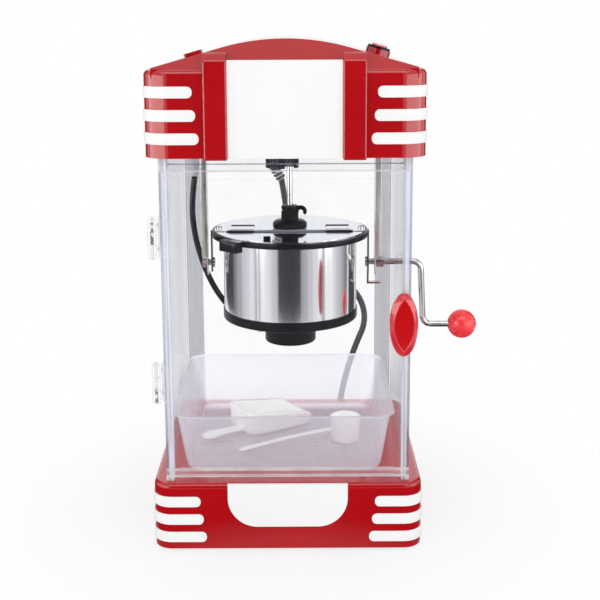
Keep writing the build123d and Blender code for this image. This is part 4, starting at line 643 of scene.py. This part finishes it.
def pointsOf(points):
    # the smooth line that a bare spline on these points draws
    guide = splineCurve("guide", points)
    bpy.context.view_layer.update()
    mesh = bpy.data.meshes.new_from_object(guide)
    line = np.empty(len(mesh.vertices) * 3)
    mesh.vertices.foreach_get("co", line)
    bpy.data.objects.remove(guide)
    bpy.data.meshes.remove(mesh)
    return line.reshape(-1, 3)


def lengthOf(line):
    return float(np.linalg.norm(np.diff(line, axis=0), axis=1).sum())


# the mains cord hangs behind the rear wall, lies in a coil on the table and ends in the plug;
# radiusAt and heightAt pair the number of turns with the coil's radius and height
mainsLead = {
    "diameter": 0.007,
    "coilMiddle": (0.018, 0.176),
    "enters": -20,
    "leaves": 1228,
    "pointsPerTurn": 16,
    "radiusAt": ((0, 0.75, 1.0, 2.5, 2.8, 3.5), (0.0415, 0.0412, 0.0343, 0.0340, 0.0410, 0.0416)),
    "heightAt": ((0, 1.6, 1.9, 3.5), (0.0108, 0.0106, 0.0037, 0.0036)),
}
mainsRoute = np.array([
    (-0.008, 0.1305, 0.328),
    (-0.0035, 0.1305, 0.303),
    (-0.001, 0.1305, 0.272),
    (0.014, 0.1305, 0.242),
    (0.044, 0.1305, 0.222),
    (0.071, 0.1305, 0.203),
    (0.086, 0.1305, 0.182),
    (0.089, 0.1305, 0.157),
    (0.078, 0.1305, 0.132),
    (0.069, 0.1305, 0.104),
    (0.0615, 0.1305, 0.074),
    (0.0575, 0.132, 0.046),
    (0.0565, 0.137, 0.022),
    (0.056, 0.153, 0.009),
])
tailRoute = np.array([
    (-0.023, 0.187, 0.005),
    (-0.036, 0.168, 0.006),
    (-0.055, 0.153, 0.0072),
    (-0.074, 0.147, 0.0076),
])


def coilTurns(lead):
    # turns about the coil's middle: outer upper, inner upper, inner lower, then outer lower
    count = int((lead["leaves"] - lead["enters"]) / 360 * lead["pointsPerTurn"])
    degree = np.linspace(lead["enters"], lead["leaves"], count)
    turn = (degree - lead["enters"]) / 360
    radius = np.interp(turn, *lead["radiusAt"])
    height = np.interp(turn, *lead["heightAt"])
    angle = np.radians(degree)
    middle = lead["coilMiddle"]
    return np.column_stack((middle[0] + radius * np.cos(angle), middle[1] + radius * np.sin(angle), height))


def makeMainsCord(lead):
    points = np.vstack((mainsRoute, coilTurns(lead), tailRoute))
    cord = splineCurve("mainsCord", points, lead["diameter"] / 2)
    cord.data.materials.append(finishes["softBlack"])
    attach(cord, "housing")
    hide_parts("mains_cord", "mains_coil")
    round(lengthOf(pointsOf(points)), 3)
    print("mains cord length", round(lengthOf(pointsOf(points)), 3))


# the kettle cord runs from the ceiling to the heater, drawn as one fixed tube
kettleLead = {"diameter": 0.0062, "bendsFrom": (-0.098, 0.037, 0.33), "bendsTo": (-0.040, 0.025, 0.190)}
kettleRoute = np.array([
    (-0.098, 0.037, 0.3445),
    (-0.101, 0.037, 0.322),
    (-0.1012, 0.037, 0.296),
    (-0.096, 0.037, 0.266),
    (-0.087, 0.038, 0.239),
    (-0.077, 0.041, 0.218),
    (-0.065, 0.042, 0.2015),
    (-0.054, 0.034, 0.1925),
    (-0.045, 0.0274, 0.190),
    (-0.0358, 0.0221, 0.190),
])


def makeKettleCord(lead):
    line = pointsOf(kettleRoute)
    cord = tubeAlong("kettleCord", line, np.full(len(line), lead["diameter"] / 2), "softBlack", 20)
    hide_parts("kettle_cord")
    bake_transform(cord)
    print("kettle cord length", round(lengthOf(line), 3))


makeMainsCord(mainsLead)
makeKettleCord(kettleLead)


# two uprights on the cover's front, their edges rounded and their tops sloping back;
# further back than the ledge the foot is lifted
upright = {
    "middle": 0.0631,
    "half": 0.0106,
    "face": -0.1275,
    "deep": 0.0255,
    "foot": 0.3815,
    "top": 0.478,
    "slope": 0.007,
    "step": 0.0012,
    "land": 0.0045,
    "ledge": 0.006,
    "lift": 0.0015,
    "round": 0.0016,
    "corner": 0.0014,
}


def makeUprights(size):
    # rounded rectangles stacked from the face to the back: the quarter round, then the slope that lets the top rise
    quarter = np.linspace(0, pi / 2, 7)
    slope, shelf = size["slope"], size["slope"] + size["step"]
    depth = np.concatenate((size["round"] * (1 - np.cos(quarter)), [size["land"], slope, shelf, size["deep"]]))
    draw = np.concatenate((size["round"] * (1 - np.sin(quarter)), [0, 0, 0, 0]))
    rise = np.interp(depth, (0, slope, shelf), (-slope, -0.0005, 0))
    lift = np.where(depth > size["ledge"], size["lift"], 0)
    for name, side in (("leftUpright", -1), ("rightUpright", 1)):
        rings = []
        for back, inset, up, foot in zip(depth, draw, rise, lift):
            low = size["foot"] + foot + inset
            high = size["top"] + up - inset
            ring = roundedRing(size["half"] - inset, (high - low) / 2, size["corner"], 6)
            rings.append(facingRing(ring, (side * size["middle"], (high + low) / 2), size["face"] + back))
        piece = gridPiece(name, np.stack(rings), "glossRed", turned=True)
        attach(piece, "housing")
        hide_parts("pilasters")


makeUprights(upright)
print("uprights made")


# the door's knob: an oval with a rounded rim, a slope, and a pointed-oval facet in a deeper red, a painted dark
# reflection on the same plastic as the rim
knob = {
    "middle": (0.1102, 0.2244),
    "half": (0.0136, 0.0307),
    "facet": (0.0096, 0.0262),
    "rear": -0.1133,
    "facetRow": 10,
    "rings": (  # share of the facet, scale, distance out
        (0.0, 0.93, 0.0), (0.0, 0.985, 0.0006), (0.0, 1.0, 0.0018), (0.0, 1.0, 0.0040), (0.0, 0.992, 0.0052),
        (0.0, 0.975, 0.0060), (0.5, 0.99, 0.0078), (0.96, 1.0, 0.0094), (1.0, 0.995, 0.0095), (1.0, 0.97, 0.0094),
        (1.0, 0.955, 0.0088), (1.0, 0.945, 0.0087), (1.0, 0.94, 0.0087), (1.0, 0.5, 0.0087), (1.0, 0.02, 0.0087),
    ),
}


def makeKnob(size, sides=96):
    # each ring mixes the outer oval with a facet bounded by two arcs; the mix and the distance out grow together
    angle = ringAngles(sides)
    oval = np.column_stack((size["half"][0] * np.cos(angle), size["half"][1] * np.sin(angle)))
    halfWidth, halfHeight = size["facet"]
    height = halfHeight * np.sin(angle)
    arcRadius = (halfWidth**2 + halfHeight**2) / (2 * halfWidth)
    width = np.sqrt(arcRadius**2 - height**2) - (arcRadius - halfWidth)
    facet = np.column_stack((np.sign(np.cos(angle)) * width, height))
    rings = []
    for mix, scale, out in size["rings"]:
        ring = (oval * (1 - mix) + facet * mix) * scale
        rings.append(facingRing(ring, size["middle"], size["rear"] - out))
    piece = gridPiece("doorKnob", np.stack(rings), "brightRed")
    # the facet takes the darker red, a painted dark reflection
    piece.data.materials.append(finishes["paintedFacetRed"])
    row = np.append(np.arange((len(rings) - 1) * sides) // sides, (0, len(rings)))
    piece.data.polygons.foreach_set("material_index", (row > size["facetRow"]).astype(np.int32))
    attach(piece, "door")
    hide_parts("door_handle")


makeKnob(knob)
print("door knob made")


# plates and strips with their edges rounded enough to catch the light: the body each rides on and the edge's width
roundedEdges = {
    "sign_panel": ("housing", 0.0005),
    "base_panel": ("housing", 0.0003),
    "base_stripes": ("housing", 0.0004),
    "cover_stripes": ("housing", 0.0004),
    "grip_block": ("kettle", 0.0010),
    "kettle_rim": ("kettle", 0.0005),
    "left_hanger": ("housing", 0.0003),
    "right_hanger": ("housing", 0.0003),
}
edgeRounding = {"joinWithin": 0.000004, "flatWithin": 0.5, "steps": 3, "sharperThan": 35}


def softened(name, nodeName, body, width):
    # the same form with its edges rounded: the node's triangles are joined first
    mesh = nodes[nodeName].data.copy()
    joined = bmesh.new()
    joined.from_mesh(mesh)
    bmesh.ops.remove_doubles(joined, verts=joined.verts, dist=edgeRounding["joinWithin"])
    flat = radians(edgeRounding["flatWithin"])
    bmesh.ops.dissolve_limit(joined, angle_limit=flat, verts=joined.verts, edges=joined.edges)
    for face in joined.faces:
        face.smooth = True
    joined.to_mesh(mesh)
    joined.free()
    mesh.name = name
    piece = addObject(name, mesh)
    bevel = piece.modifiers.new("edges", "BEVEL")
    bevel.width = width
    bevel.segments = edgeRounding["steps"]
    bevel.limit_method = "ANGLE"
    bevel.angle_limit = radians(edgeRounding["sharperThan"])
    bevel.harden_normals = True
    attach(piece, body)
    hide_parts(nodeName)


def roundEdges():
    for nodeName, (body, width) in roundedEdges.items():
        first, last = nodeName.split("_")
        softened("soft" + first.title() + last.title(), nodeName, body, width)


roundEdges()
print("edges rounded")


# the tray: a tapering tub with rounded corners and a turned-out lip
tray = {
    "middle": -0.0039,
    "topHalf": (0.1094, 0.1042),
    "footHalf": (0.0956, 0.0954),
    "top": 0.1286,
    "foot": 0.0683,
    "wall": 0.0014,
    "lip": 0.004,
    "corner": 0.016,
    "leastCorner": 0.004,
    "fillet": 0.007,
    "underLip": (0.002, 0.0008),
    "insideLip": (0.0004, 0.0006),
}


def makeTray(size):
    # rounded rectangles stacked up the outside, over the lip and down the inside; the sides lean out evenly
    top = np.array(size["topHalf"]) - size["lip"]
    foot = np.array(size["footHalf"])
    height = size["top"] - size["foot"]
    wall = size["wall"]
    quarter = np.linspace(0, pi / 2, 7)
    outerDrop = size["fillet"] * (1 - np.sin(quarter))
    outerRise = size["fillet"] * (1 - np.cos(quarter))
    innerFillet = size["fillet"] - wall
    innerDrop = innerFillet * (1 - np.sin(quarter))
    innerRise = wall + innerFillet * (1 - np.cos(quarter))
    lipAngle = np.linspace(-pi / 2, pi / 2, 7)
    lipReach = size["lip"] - wall / 2 + wall / 2 * np.cos(lipAngle)
    lipLevel = height - wall / 2 + wall / 2 * np.sin(lipAngle)
    below, outward = size["underLip"]
    dip, inward = size["insideLip"]
    neck = [height - wall - below, height - wall]
    rise = np.concatenate((outerRise, neck, lipLevel, [height - dip], innerRise[::-1]))
    out = np.concatenate((-outerDrop, [0, outward], lipReach, [-wall + inward], -wall - innerDrop[::-1]))
    rings = []
    for level, reach in zip(rise, out):
        half = foot + (top - foot) * level / height + reach
        ring = roundedRing(half[0], half[1], max(size["corner"] + reach, size["leastCorner"]))
        rings.append(flatRing(ring, (size["middle"], 0), size["foot"] + level))
    piece = gridPiece("trayShell", np.stack(rings), "mistTray")
    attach(piece, "tub")
    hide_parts("tub")


makeTray(tray)
print("tray made")


def turnedTo(points, place, heading):
    # turns flat points by heading about the upright axis and moves them to place
    angle = radians(heading)
    x = place[0] + points[..., 0] * np.cos(angle) - points[..., 1] * np.sin(angle)
    y = place[1] + points[..., 0] * np.sin(angle) + points[..., 1] * np.cos(angle)
    return np.stack((x, y, place[2] + points[..., 2]), axis=-1)


def roundedEnd(along, start, run, least):
    # 1 as far as start, then falling over the run as a quarter circle does
    return np.sqrt(np.clip(1 - np.clip((along - start) / run, 0, 1) ** 2, least, 1))


def flattened(angle, half):
    # height of a flat bar's outline: the sine raised to 0.6, which fills its corners out
    return half * np.sign(np.sin(angle)) * np.abs(np.sin(angle)) ** 0.6


def addTools(pieces, nodeName):
    for piece in pieces:
        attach(piece, "tub")
        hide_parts(nodeName)


# the scoop and the measuring spoon lying in the tray
scoopSize = {
    "place": (-0.021, 0.029, 0.070),
    "heading": 34,
    "length": 0.076,
    "width": 0.048,
    "height": 0.028,
    "wall": 0.0013,
    "flare": 0.002,
    "corner": 0.0085,
    "fillet": 0.006,
    "cutShare": 0.76,
    "cutFrom": 0.020,
    "cutRun": 0.028,
    "handleLength": 0.046,
    "handleHalf": 0.0062,
    "handleGrows": 0.0036,
    "handleThick": 0.0019,
    "handleHeight": 0.005,
}


def makeScoop(size):
    # bowl: rounded rectangles widening upward, each level cut down towards the front lip; handle: a flat rounded bar
    halfLength = size["length"] / 2
    halfWidth = size["width"] / 2
    share = np.concatenate((np.linspace(0, 1, 12) ** 1.4, np.linspace(1, 0.05, 12) ** 1.4))
    inward = np.concatenate((np.zeros(12), np.full(12, size["wall"])))
    fillet = size["fillet"] * (1 - np.minimum(share / 0.2, 1)) ** 2
    rings = []
    for part, draw, small in zip(share, inward, fillet):
        grown = size["flare"] * part
        ring = roundedRing(halfLength + grown - draw - small, halfWidth + grown - draw - small, size["corner"])
        ring[:, 0] += grown
        front = np.clip((ring[:, 0] - halfLength + size["cutFrom"]) / size["cutRun"], 0, 1)
        low = 0.0 if draw == 0 else size["wall"]
        level = low + (size["height"] - low) * part * (1 - size["cutShare"] * front)
        rings.append(np.column_stack((ring, level)))
    bowl = gridPiece("scoopBowl", turnedTo(np.stack(rings), size["place"], size["heading"]), "milkyTool")
    sides = 20
    along = np.linspace(0, 1, 28)
    middle = -halfLength + 0.0015 - along * size["handleLength"]
    half = size["handleHalf"] + size["handleGrows"] * np.clip((along - 0.52) / 0.3, 0, 1) ** 0.6
    half *= roundedEnd(along, 0.74, 0.27, 0.02)
    angle = ringAngles(sides)
    arch = size["handleHeight"] + 0.001 * np.sin(along * pi)
    height = arch[:, None] + flattened(angle, size["handleThick"])[None, :]
    width = half[:, None] * np.cos(angle)[None, :]
    grid = np.stack((np.repeat(middle[:, None], sides, axis=1), width, height), axis=-1)
    handle = gridPiece("scoopHandle", turnedTo(grid, size["place"], size["heading"]), "milkyTool")
    addTools((bowl, handle), "scoop")


spoonSize = {
    "cup": (0.060, -0.014),
    "floor": 0.070,
    "radius": 0.016,
    "taper": 0.002,
    "height": 0.027,
    "wall": 0.0013,
    "handleHeight": 0.012,
    "handleEnd": (-0.050, -0.047, 0.0726),
    "handleHalf": 0.0032,
    "handleGrows": 0.0008,
    "handleThick": 0.0011,
    "handleArch": 0.0012,
}


def makeSpoon(size):
    # cup: a turned wall with a rolled lip; handle: a flat rounded bar that widens at its end
    floor, radius, wall = size["floor"], size["radius"], size["wall"]
    foot = radius - size["taper"]
    profile = [
        (0.0004, floor), (foot - 0.0025, floor), (foot - 0.0008, floor + 0.0006), (foot, floor + 0.0022),
        (radius - 0.0002, floor + size["height"] - 0.0012), (radius, floor + size["height"] - 0.0005),
        (radius - 0.0006, floor + size["height"]), (radius - wall, floor + size["height"] - 0.0006),
        (foot - wall, floor + 0.0034), (foot - wall - 0.0016, floor + wall), (0.0004, floor + wall),
    ]
    cup = turnedPiece("spoonCup", profile, size["cup"], "milkyTool", 64)
    start = np.array((size["cup"][0] - 0.72 * radius, size["cup"][1] + 0.003, floor + size["handleHeight"]))
    run = np.array(size["handleEnd"]) - start
    side = np.array((-run[1], run[0], 0)) / np.hypot(run[0], run[1])
    up = np.array((0, 0, 1.0))
    along = np.linspace(0, 1, 36)
    half = size["handleHalf"] + size["handleGrows"] * np.clip((along - 0.7) / 0.2, 0, 1)
    half *= roundedEnd(along, 0.965, 0.036, 0.03)
    angle = ringAngles(16)
    centre = start + along[:, None] * run + up * (size["handleArch"] * np.sin(along * pi))[:, None]
    width = side * (half[:, None, None] * np.cos(angle)[None, :, None])
    height = up * flattened(angle, size["handleThick"])[None, :, None]
    handle = gridPiece("spoonHandle", centre[:, None] + width - height, "milkyTool")
    addTools((cup, handle), "measuring_spoon")


makeScoop(scoopSize)
makeSpoon(spoonSize)
print("scoop and spoon made")


kettleMiddle = 0.0026  # the kettle hangs this far right of the middle


def spoke(angle, reaches, height):
    # points on a level line out from the kettle's axis
    turn = radians(angle)
    return [(kettleMiddle + reach * np.cos(turn), reach * np.sin(turn), height) for reach in reaches]


# ribbed sleeves that keep the cords from kinking
sleeves = {
    "mainsSleeve": {
        "path": (
            (-0.021, 0.1305, 0.389),
            (-0.0205, 0.1305, 0.3695),
            (-0.0192, 0.1305, 0.350),
            (-0.0144, 0.1305, 0.339),
            (-0.008, 0.1305, 0.328),
        ),
        "thick": 0.0067, "thin": 0.0046, "ribs": 11, "rib": 0.0010,
        # the pale finish between this sleeve's ribs is painted highlight
        "body": "housing", "finish": "softBlack", "grooves": "paleBoot",
    },
    "kettleCordSleeve": {
        "path": ((-0.098, 0.037, 0.3835), (-0.098, 0.037, 0.345)),
        "thick": 0.0060, "thin": 0.0038, "ribs": 8, "rib": 0.0007,
        "body": "housing", "finish": "paleBoot", "grooves": "paleBoot",
    },
    "heaterSleeve": {
        "path": spoke(150, (0.0262, 0.0438), 0.190),
        "thick": 0.0061, "thin": 0.0041, "ribs": 5, "rib": 0.0005,
        "body": "kettle", "finish": "softBlack", "grooves": "softBlack",
    },
}


def ribbedSleeve(name, path, thick, thin, ribs, rib, body, finish, grooves):
    # a tube tapering from thick to thin along path, its radius rising in smooth ribs; grooves is the finish between
    # the ribs, which on the mains sleeve is a pale painted highlight
    sides = 32
    path = np.array(path)
    share = np.linspace(0, 1, ribs * 10 + 1)
    place = np.array([np.interp(share, np.linspace(0, 1, len(path)), path[:, axis]) for axis in range(3)]).T
    wave = np.clip(0.6 - 1.1 * np.cos(share * ribs * 2 * pi), 0, 1)
    radii = thick + (thin - thick) * share + rib * wave
    piece = tubeAlong(name, place, radii, finish, sides)
    piece.data.materials.append(finishes[grooves])
    low = np.append(np.repeat(wave[:-1] + wave[1:] < 0.3, sides), (False, False))
    piece.data.polygons.foreach_set("material_index", low.astype(np.int32))
    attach(piece, body)


for sleeveName, sleeve in sleeves.items():
    ribbedSleeve(sleeveName, **sleeve)
print("cord sleeves made")


# dark bars in the lid's slots, behind the straps: black pieces that stand in for the shade inside the slots
slotShade = {
    "reach": 0.049,
    "depth": 0.0100,
    "half": (0.0122, 0.0030),
    "foot": 0.2948,
    "top": 0.2970,
    "edge": 0.0008,
    "corner": 0.0009,
}


def makeSlotShades(size):
    # a rounded bar standing a little out of each slot, its upper edge drawn in by a quarter round
    quarter = np.linspace(0, pi / 2, 6)
    level = np.concatenate(([size["foot"]], size["top"] - size["edge"] * (1 - np.sin(quarter))))
    draw = np.concatenate(([0], size["edge"] * (1 - np.cos(quarter))))
    for name, side in (("leftSlotShade", -1), ("rightSlotShade", 1)):
        middle = (kettleMiddle + side * size["reach"], size["depth"])
        rings = []
        for height, inset in zip(level, draw):
            ring = roundedRing(size["half"][0] - inset, size["half"][1] - inset, size["corner"], 6)
            rings.append(flatRing(ring, middle, height))
        # painted shade: a black piece filling the shadow in the slot
        piece = gridPiece(name, np.stack(rings), "blackPlastic")
        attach(piece, "kettle")


# the stirrer's hub: a ribbed flange, a neck and a rounded catch on its right
hub = {
    "middle": (kettleMiddle, 0.0),
    "foot": 0.289,
    "flange": 0.2964,
    "shoulder": 0.304,
    "top": 0.3195,
    "ribs": 30,
    "ribDepth": 0.0005,
    "catchReach": 0.0112,
    "catchDrop": 0.0068,
    "catchRadius": 0.0044,
    "catchArc": (-35, 205),
    "catchThickness": ((0, 0.8, 1), (0.0024, 0.0022, 0.0015)),
}


def makeHub(size):
    # neck: a turned profile whose flange carries square ribs; catch: a tube along an arc, thinner at its tip
    foot, flange, shoulder, top = size["foot"], size["flange"], size["shoulder"], size["top"]

    def flangeRibs(angle, height):
        inside = (height > flange) & (height < shoulder - 0.0018)
        return np.where(inside, size["ribDepth"] * np.sign(np.cos(size["ribs"] * angle)), 0)

    profile = [
        (0.0031, foot), (0.0088, foot), (0.0088, flange), (0.0168, flange), (0.0170, flange + 0.0004),
        (0.0170, shoulder - 0.0024), (0.0168, shoulder - 0.0018), (0.0148, shoulder), (0.0098, shoulder + 0.0004),
        (0.0090, shoulder + 0.0012), (0.0087, top - 0.0060), (0.0079, top - 0.0056), (0.0079, top - 0.0040),
        (0.0087, top - 0.0036), (0.0087, top - 0.0010), (0.0078, top), (0.0040, top), (0.0031, top - 0.001),
    ]
    neck = turnedPiece("hubNeck", profile, size["middle"], "blackPlastic", 240, flangeRibs)
    count = 22
    angle = np.linspace(*np.radians(size["catchArc"]), count)[::-1]
    x = size["middle"][0] + size["catchReach"] + size["catchRadius"] * np.cos(angle)
    z = top - size["catchDrop"] + size["catchRadius"] * np.sin(angle)
    radii = np.interp(np.linspace(0, 1, count), *size["catchThickness"])
    catch = tubeAlong("hubCatch", np.column_stack((x, np.zeros(count), z)), radii, "blackPlastic", 20)
    for piece in (neck, catch):
        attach(piece, "stirrer")
        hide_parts("stirrer_hub")


makeSlotShades(slotShade)
makeHub(hub)
print("hub made")


# domed screw heads with a crossed recess
lidHead = {"radius": 0.0029, "height": 0.0014, "recess": 0.0017, "depth": 0.0005, "slotHalf": 0.00042}
leafHead = {**lidHead, "radius": 0.0022, "height": 0.0011, "recess": 0.0013}
lidScrews = {"reach": 0.0733, "height": 0.2967}
leafScrews = {"side": -0.11975, "front": -0.1035, "heights": (0.166, 0.307), "apart": 0.0115}


def turnToward(points, normal):
    # carries points drawn about the upright axis to one along normal
    normal = np.asarray(normal, float) / np.linalg.norm(normal)
    hint = np.array((0.0, 0.0, 1.0)) if abs(normal[2]) < 0.9 else np.array((1.0, 0.0, 0.0))
    across = np.cross(hint, normal)
    across /= np.linalg.norm(across)
    return points @ np.stack((across, np.cross(normal, across), normal))


def makeScrew(name, place, normal, body, size):
    # a dome whose middle sinks where the angle is near one of two crossed lines
    radius = np.linspace(1, 0.02, 16) * size["radius"]
    angle = ringAngles(48)
    dome = size["height"] * np.sqrt(1 - (0.9 * radius / size["radius"]) ** 2)
    x = radius[:, None] * np.cos(angle)
    y = radius[:, None] * np.sin(angle)
    sunk = (np.minimum(np.abs(x), np.abs(y)) < size["slotHalf"]) & (radius[:, None] < size["recess"])
    height = dome[:, None] - np.where(sunk, size["depth"], 0)
    grid = np.stack((x, y, height), axis=-1)
    foot = grid[:1].copy()
    foot[..., 2] = 0
    grid = turnToward(np.concatenate((foot, grid)), normal) + np.asarray(place)
    piece = gridPiece(name, grid, "platedSteel")
    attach(piece, body)


def makeScrews(lid, leaf):
    for index, side in enumerate((-1, 1)):
        place = (kettleMiddle + side * lid["reach"], 0, lid["height"])
        makeScrew("lidScrew%d" % index, place, (0, 0, 1), "kettle", lidHead)
    for index, middle in enumerate(leaf["heights"]):
        for upper, step in enumerate((-leaf["apart"], leaf["apart"])):
            place = (leaf["side"], leaf["front"], middle + step)
            makeScrew("leafScrew%d%d" % (index, upper), place, (-1, 0, 0), "housing", leafHead)


makeScrews(lidScrews, leafScrews)
print("screws made")


# lamps: name, place, size, power, then whether reflections and matt surfaces see it
lamps = (
    ("keyLamp", (-0.9, -1.4, 1.4), (0.9, 0.9), 3.0, False, True),
    ("fillLamp", (1.1, -1.2, 1.2), (0.9, 0.9), 1.5, False, True),
    ("topStrip", (0.0, -0.78, 1.45), (1.6, 0.36), 5.6, True, False),
    ("leftStrip", (-1.15, -0.66, 0.36), (1.9, 0.66), 12.0, True, False),
    ("rightStrip", (1.15, -0.66, 0.36), (1.9, 0.66), 9.0, True, False),
)
lampsFace = (0, 0, 0.3)
backdrop = {"lights": 0.92, "isSeen": 1.0}  # how bright the white world is as a light and to the eye


def softbox(name, place, size, power, mirrored, lighting):
    data = bpy.data.lights.new(name, "AREA")
    data.shape = "RECTANGLE"
    data.size, data.size_y = size
    data.energy = power
    lamp = addObject(name, data)
    lamp.location = place
    lamp.rotation_euler = (Vector(lampsFace) - Vector(place)).to_track_quat("-Z", "Y").to_euler()
    lamp.visible_glossy = mirrored
    lamp.visible_diffuse = lighting
    lamp.visible_transmission = lighting


def makeStudio(levels):
    world = bpy.data.worlds.new("studio")
    bpy.context.scene.world = world
    world.use_nodes = True
    tree = world.node_tree
    background = setInputs(tree.nodes["Background"], Color=(1, 1, 1, 1))
    path = tree.nodes.new("ShaderNodeLightPath").outputs
    seen = mathOf(tree, "MAXIMUM", path["Is Camera Ray"], path["Is Transmission Ray"])
    seen = mathOf(tree, "MAXIMUM", seen, path["Is Glossy Ray"])
    tree.links.new(spread(tree, seen, levels["lights"], levels["isSeen"]), background.inputs["Strength"])
    for lamp in lamps:
        softbox(*lamp)


# cards that only reflections meet: they give the polished steel its upright bands and keep the sheets clear;
# each is start, end, height and the shades from one end to the other
mirrorCards = {
    "frontCard": ((-0.27, -0.78), (0.25, -0.78), 0.95, (0.05, 0.05)),
    "leftFrontCard": ((-0.27, -0.78), (-0.52, -0.62), 0.22, (0.55, 1.0)),
    "leftBandCard": ((-0.61, -0.51), (-0.635, -0.48), 0.22, (0.5, 0.5)),
    "leftSideCard": ((-0.70, -0.45), (-0.76, 0.30), 0.22, (1.0, 0.80, 0.45, 0.12)),
    "leftBackCard": ((-0.76, 0.30), (-0.55, 0.75), 0.9, (0.06, 0.08)),
    "rightFrontCard": ((0.25, -0.78), (0.60, -0.53), 0.22, (0.35, 0.65, 1.0)),
    "rightSideCard": ((0.77, -0.22), (0.75, 0.28), 0.22, (1.0, 0.6, 0.15)),
    "rightBackCard": ((0.62, 0.30), (0.45, 0.62), 0.9, (0.06, 0.06)),
}
cardTint = (0.96, 0.95, 1.0)


def makeCards():
    for name, (start, end, height, shades) in mirrorCards.items():
        mesh = bpy.data.meshes.new(name)
        mesh.from_pydata([(*start, 0), (*end, 0), (*end, height), (*start, height)], [], [(0, 1, 2, 3)])
        layer = mesh.uv_layers.new(name="along")
        layer.data.foreach_set("uv", np.array((0, 0, 1, 0, 1, 1, 0, 1), dtype=np.float32))
        card = addObject(name, mesh)
        material, tree, shader = newMaterial(name)
        tree.nodes.remove(shader)
        along = tree.nodes.new("ShaderNodeUVMap")
        along.uv_map = "along"
        split = tree.nodes.new("ShaderNodeSeparateXYZ")
        tree.links.new(along.outputs["UV"], split.inputs[0])
        places = np.linspace(0, 1, len(shades)).tolist()
        stops = [(place, shadeOf(cardTint, shade)) for place, shade in zip(places, shades)]
        glow = tree.nodes.new("ShaderNodeEmission")
        tree.links.new(ramp(tree, split.outputs["X"], stops), glow.inputs["Color"])
        setSurface(tree, glow.outputs[0])
        mesh.materials.append(material)
        for kind in ("camera", "diffuse", "transmission", "shadow", "volume_scatter"):
            setattr(card, "visible_" + kind, False)


# a pale disc that fades to plain white away from the object; mirrored is what reflections see of it,
# by distance from the middle: pale at the foot, dark in front, white further out
floorLook = {
    "radius": 9,
    "sides": 96,
    "level": -0.0002,
    "dark": (0.86, 0.86, 0.87),
    "light": (0.88, 0.88, 0.89),
    "rough": 0.6,
    "fade": (0.10, 0.40),
    "leastWhite": 0.75,
    "mirrored": [
        (0.145, (0.55, 0.55, 0.57)),
        (0.20, (0.03, 0.03, 0.03)),
        (0.36, (0.03, 0.03, 0.03)),
        (0.52, (1.0, 1.0, 1.0)),
    ],
}


def makeFloor(look):
    angle = ringAngles(look["sides"])
    ring = look["radius"] * np.column_stack((np.cos(angle), np.sin(angle)))
    mesh = bpy.data.meshes.new("floor")
    mesh.from_pydata(flatRing(ring, (0, 0), look["level"]).tolist(), [], [list(range(look["sides"]))])
    floor = addObject("floor", mesh)
    material, tree, shader = newMaterial("paleFloor")
    vector = objectCoords(tree)
    mottled(tree, shader, vector, 3, look["dark"], look["light"])
    setInputs(shader, Roughness=look["rough"])
    length = tree.nodes.new("ShaderNodeVectorMath")
    length.operation = "LENGTH"
    tree.links.new(vector, length.inputs[0])
    distance = length.outputs["Value"]
    start, end = look["fade"]
    fade = addNode(tree, "ShaderNodeMapRange", From_Min=start, From_Max=end, To_Min=look["leastWhite"])
    fade.interpolation_type = "SMOOTHSTEP"
    tree.links.new(distance, fade.inputs["Value"])
    white = addNode(tree, "ShaderNodeEmission", Strength=1.0)
    seen = mixShader(tree, fade.outputs["Result"], shader.outputs[0], white.outputs[0])
    mirrored = tree.nodes.new("ShaderNodeEmission")
    tree.links.new(ramp(tree, distance, look["mirrored"]), mirrored.inputs["Color"])
    path = tree.nodes.new("ShaderNodeLightPath").outputs
    setSurface(tree, mixShader(tree, path["Is Glossy Ray"], seen, mirrored.outputs[0]))
    mesh.materials.append(material)


makeCards()
makeStudio(backdrop)
makeFloor(floorLook)
print("studio set")

bpy.context.scene.view_settings.view_transform = "Standard"
bpy.context.scene.cycles.transparent_max_bounces = 32  # many clear sheets stand behind one another
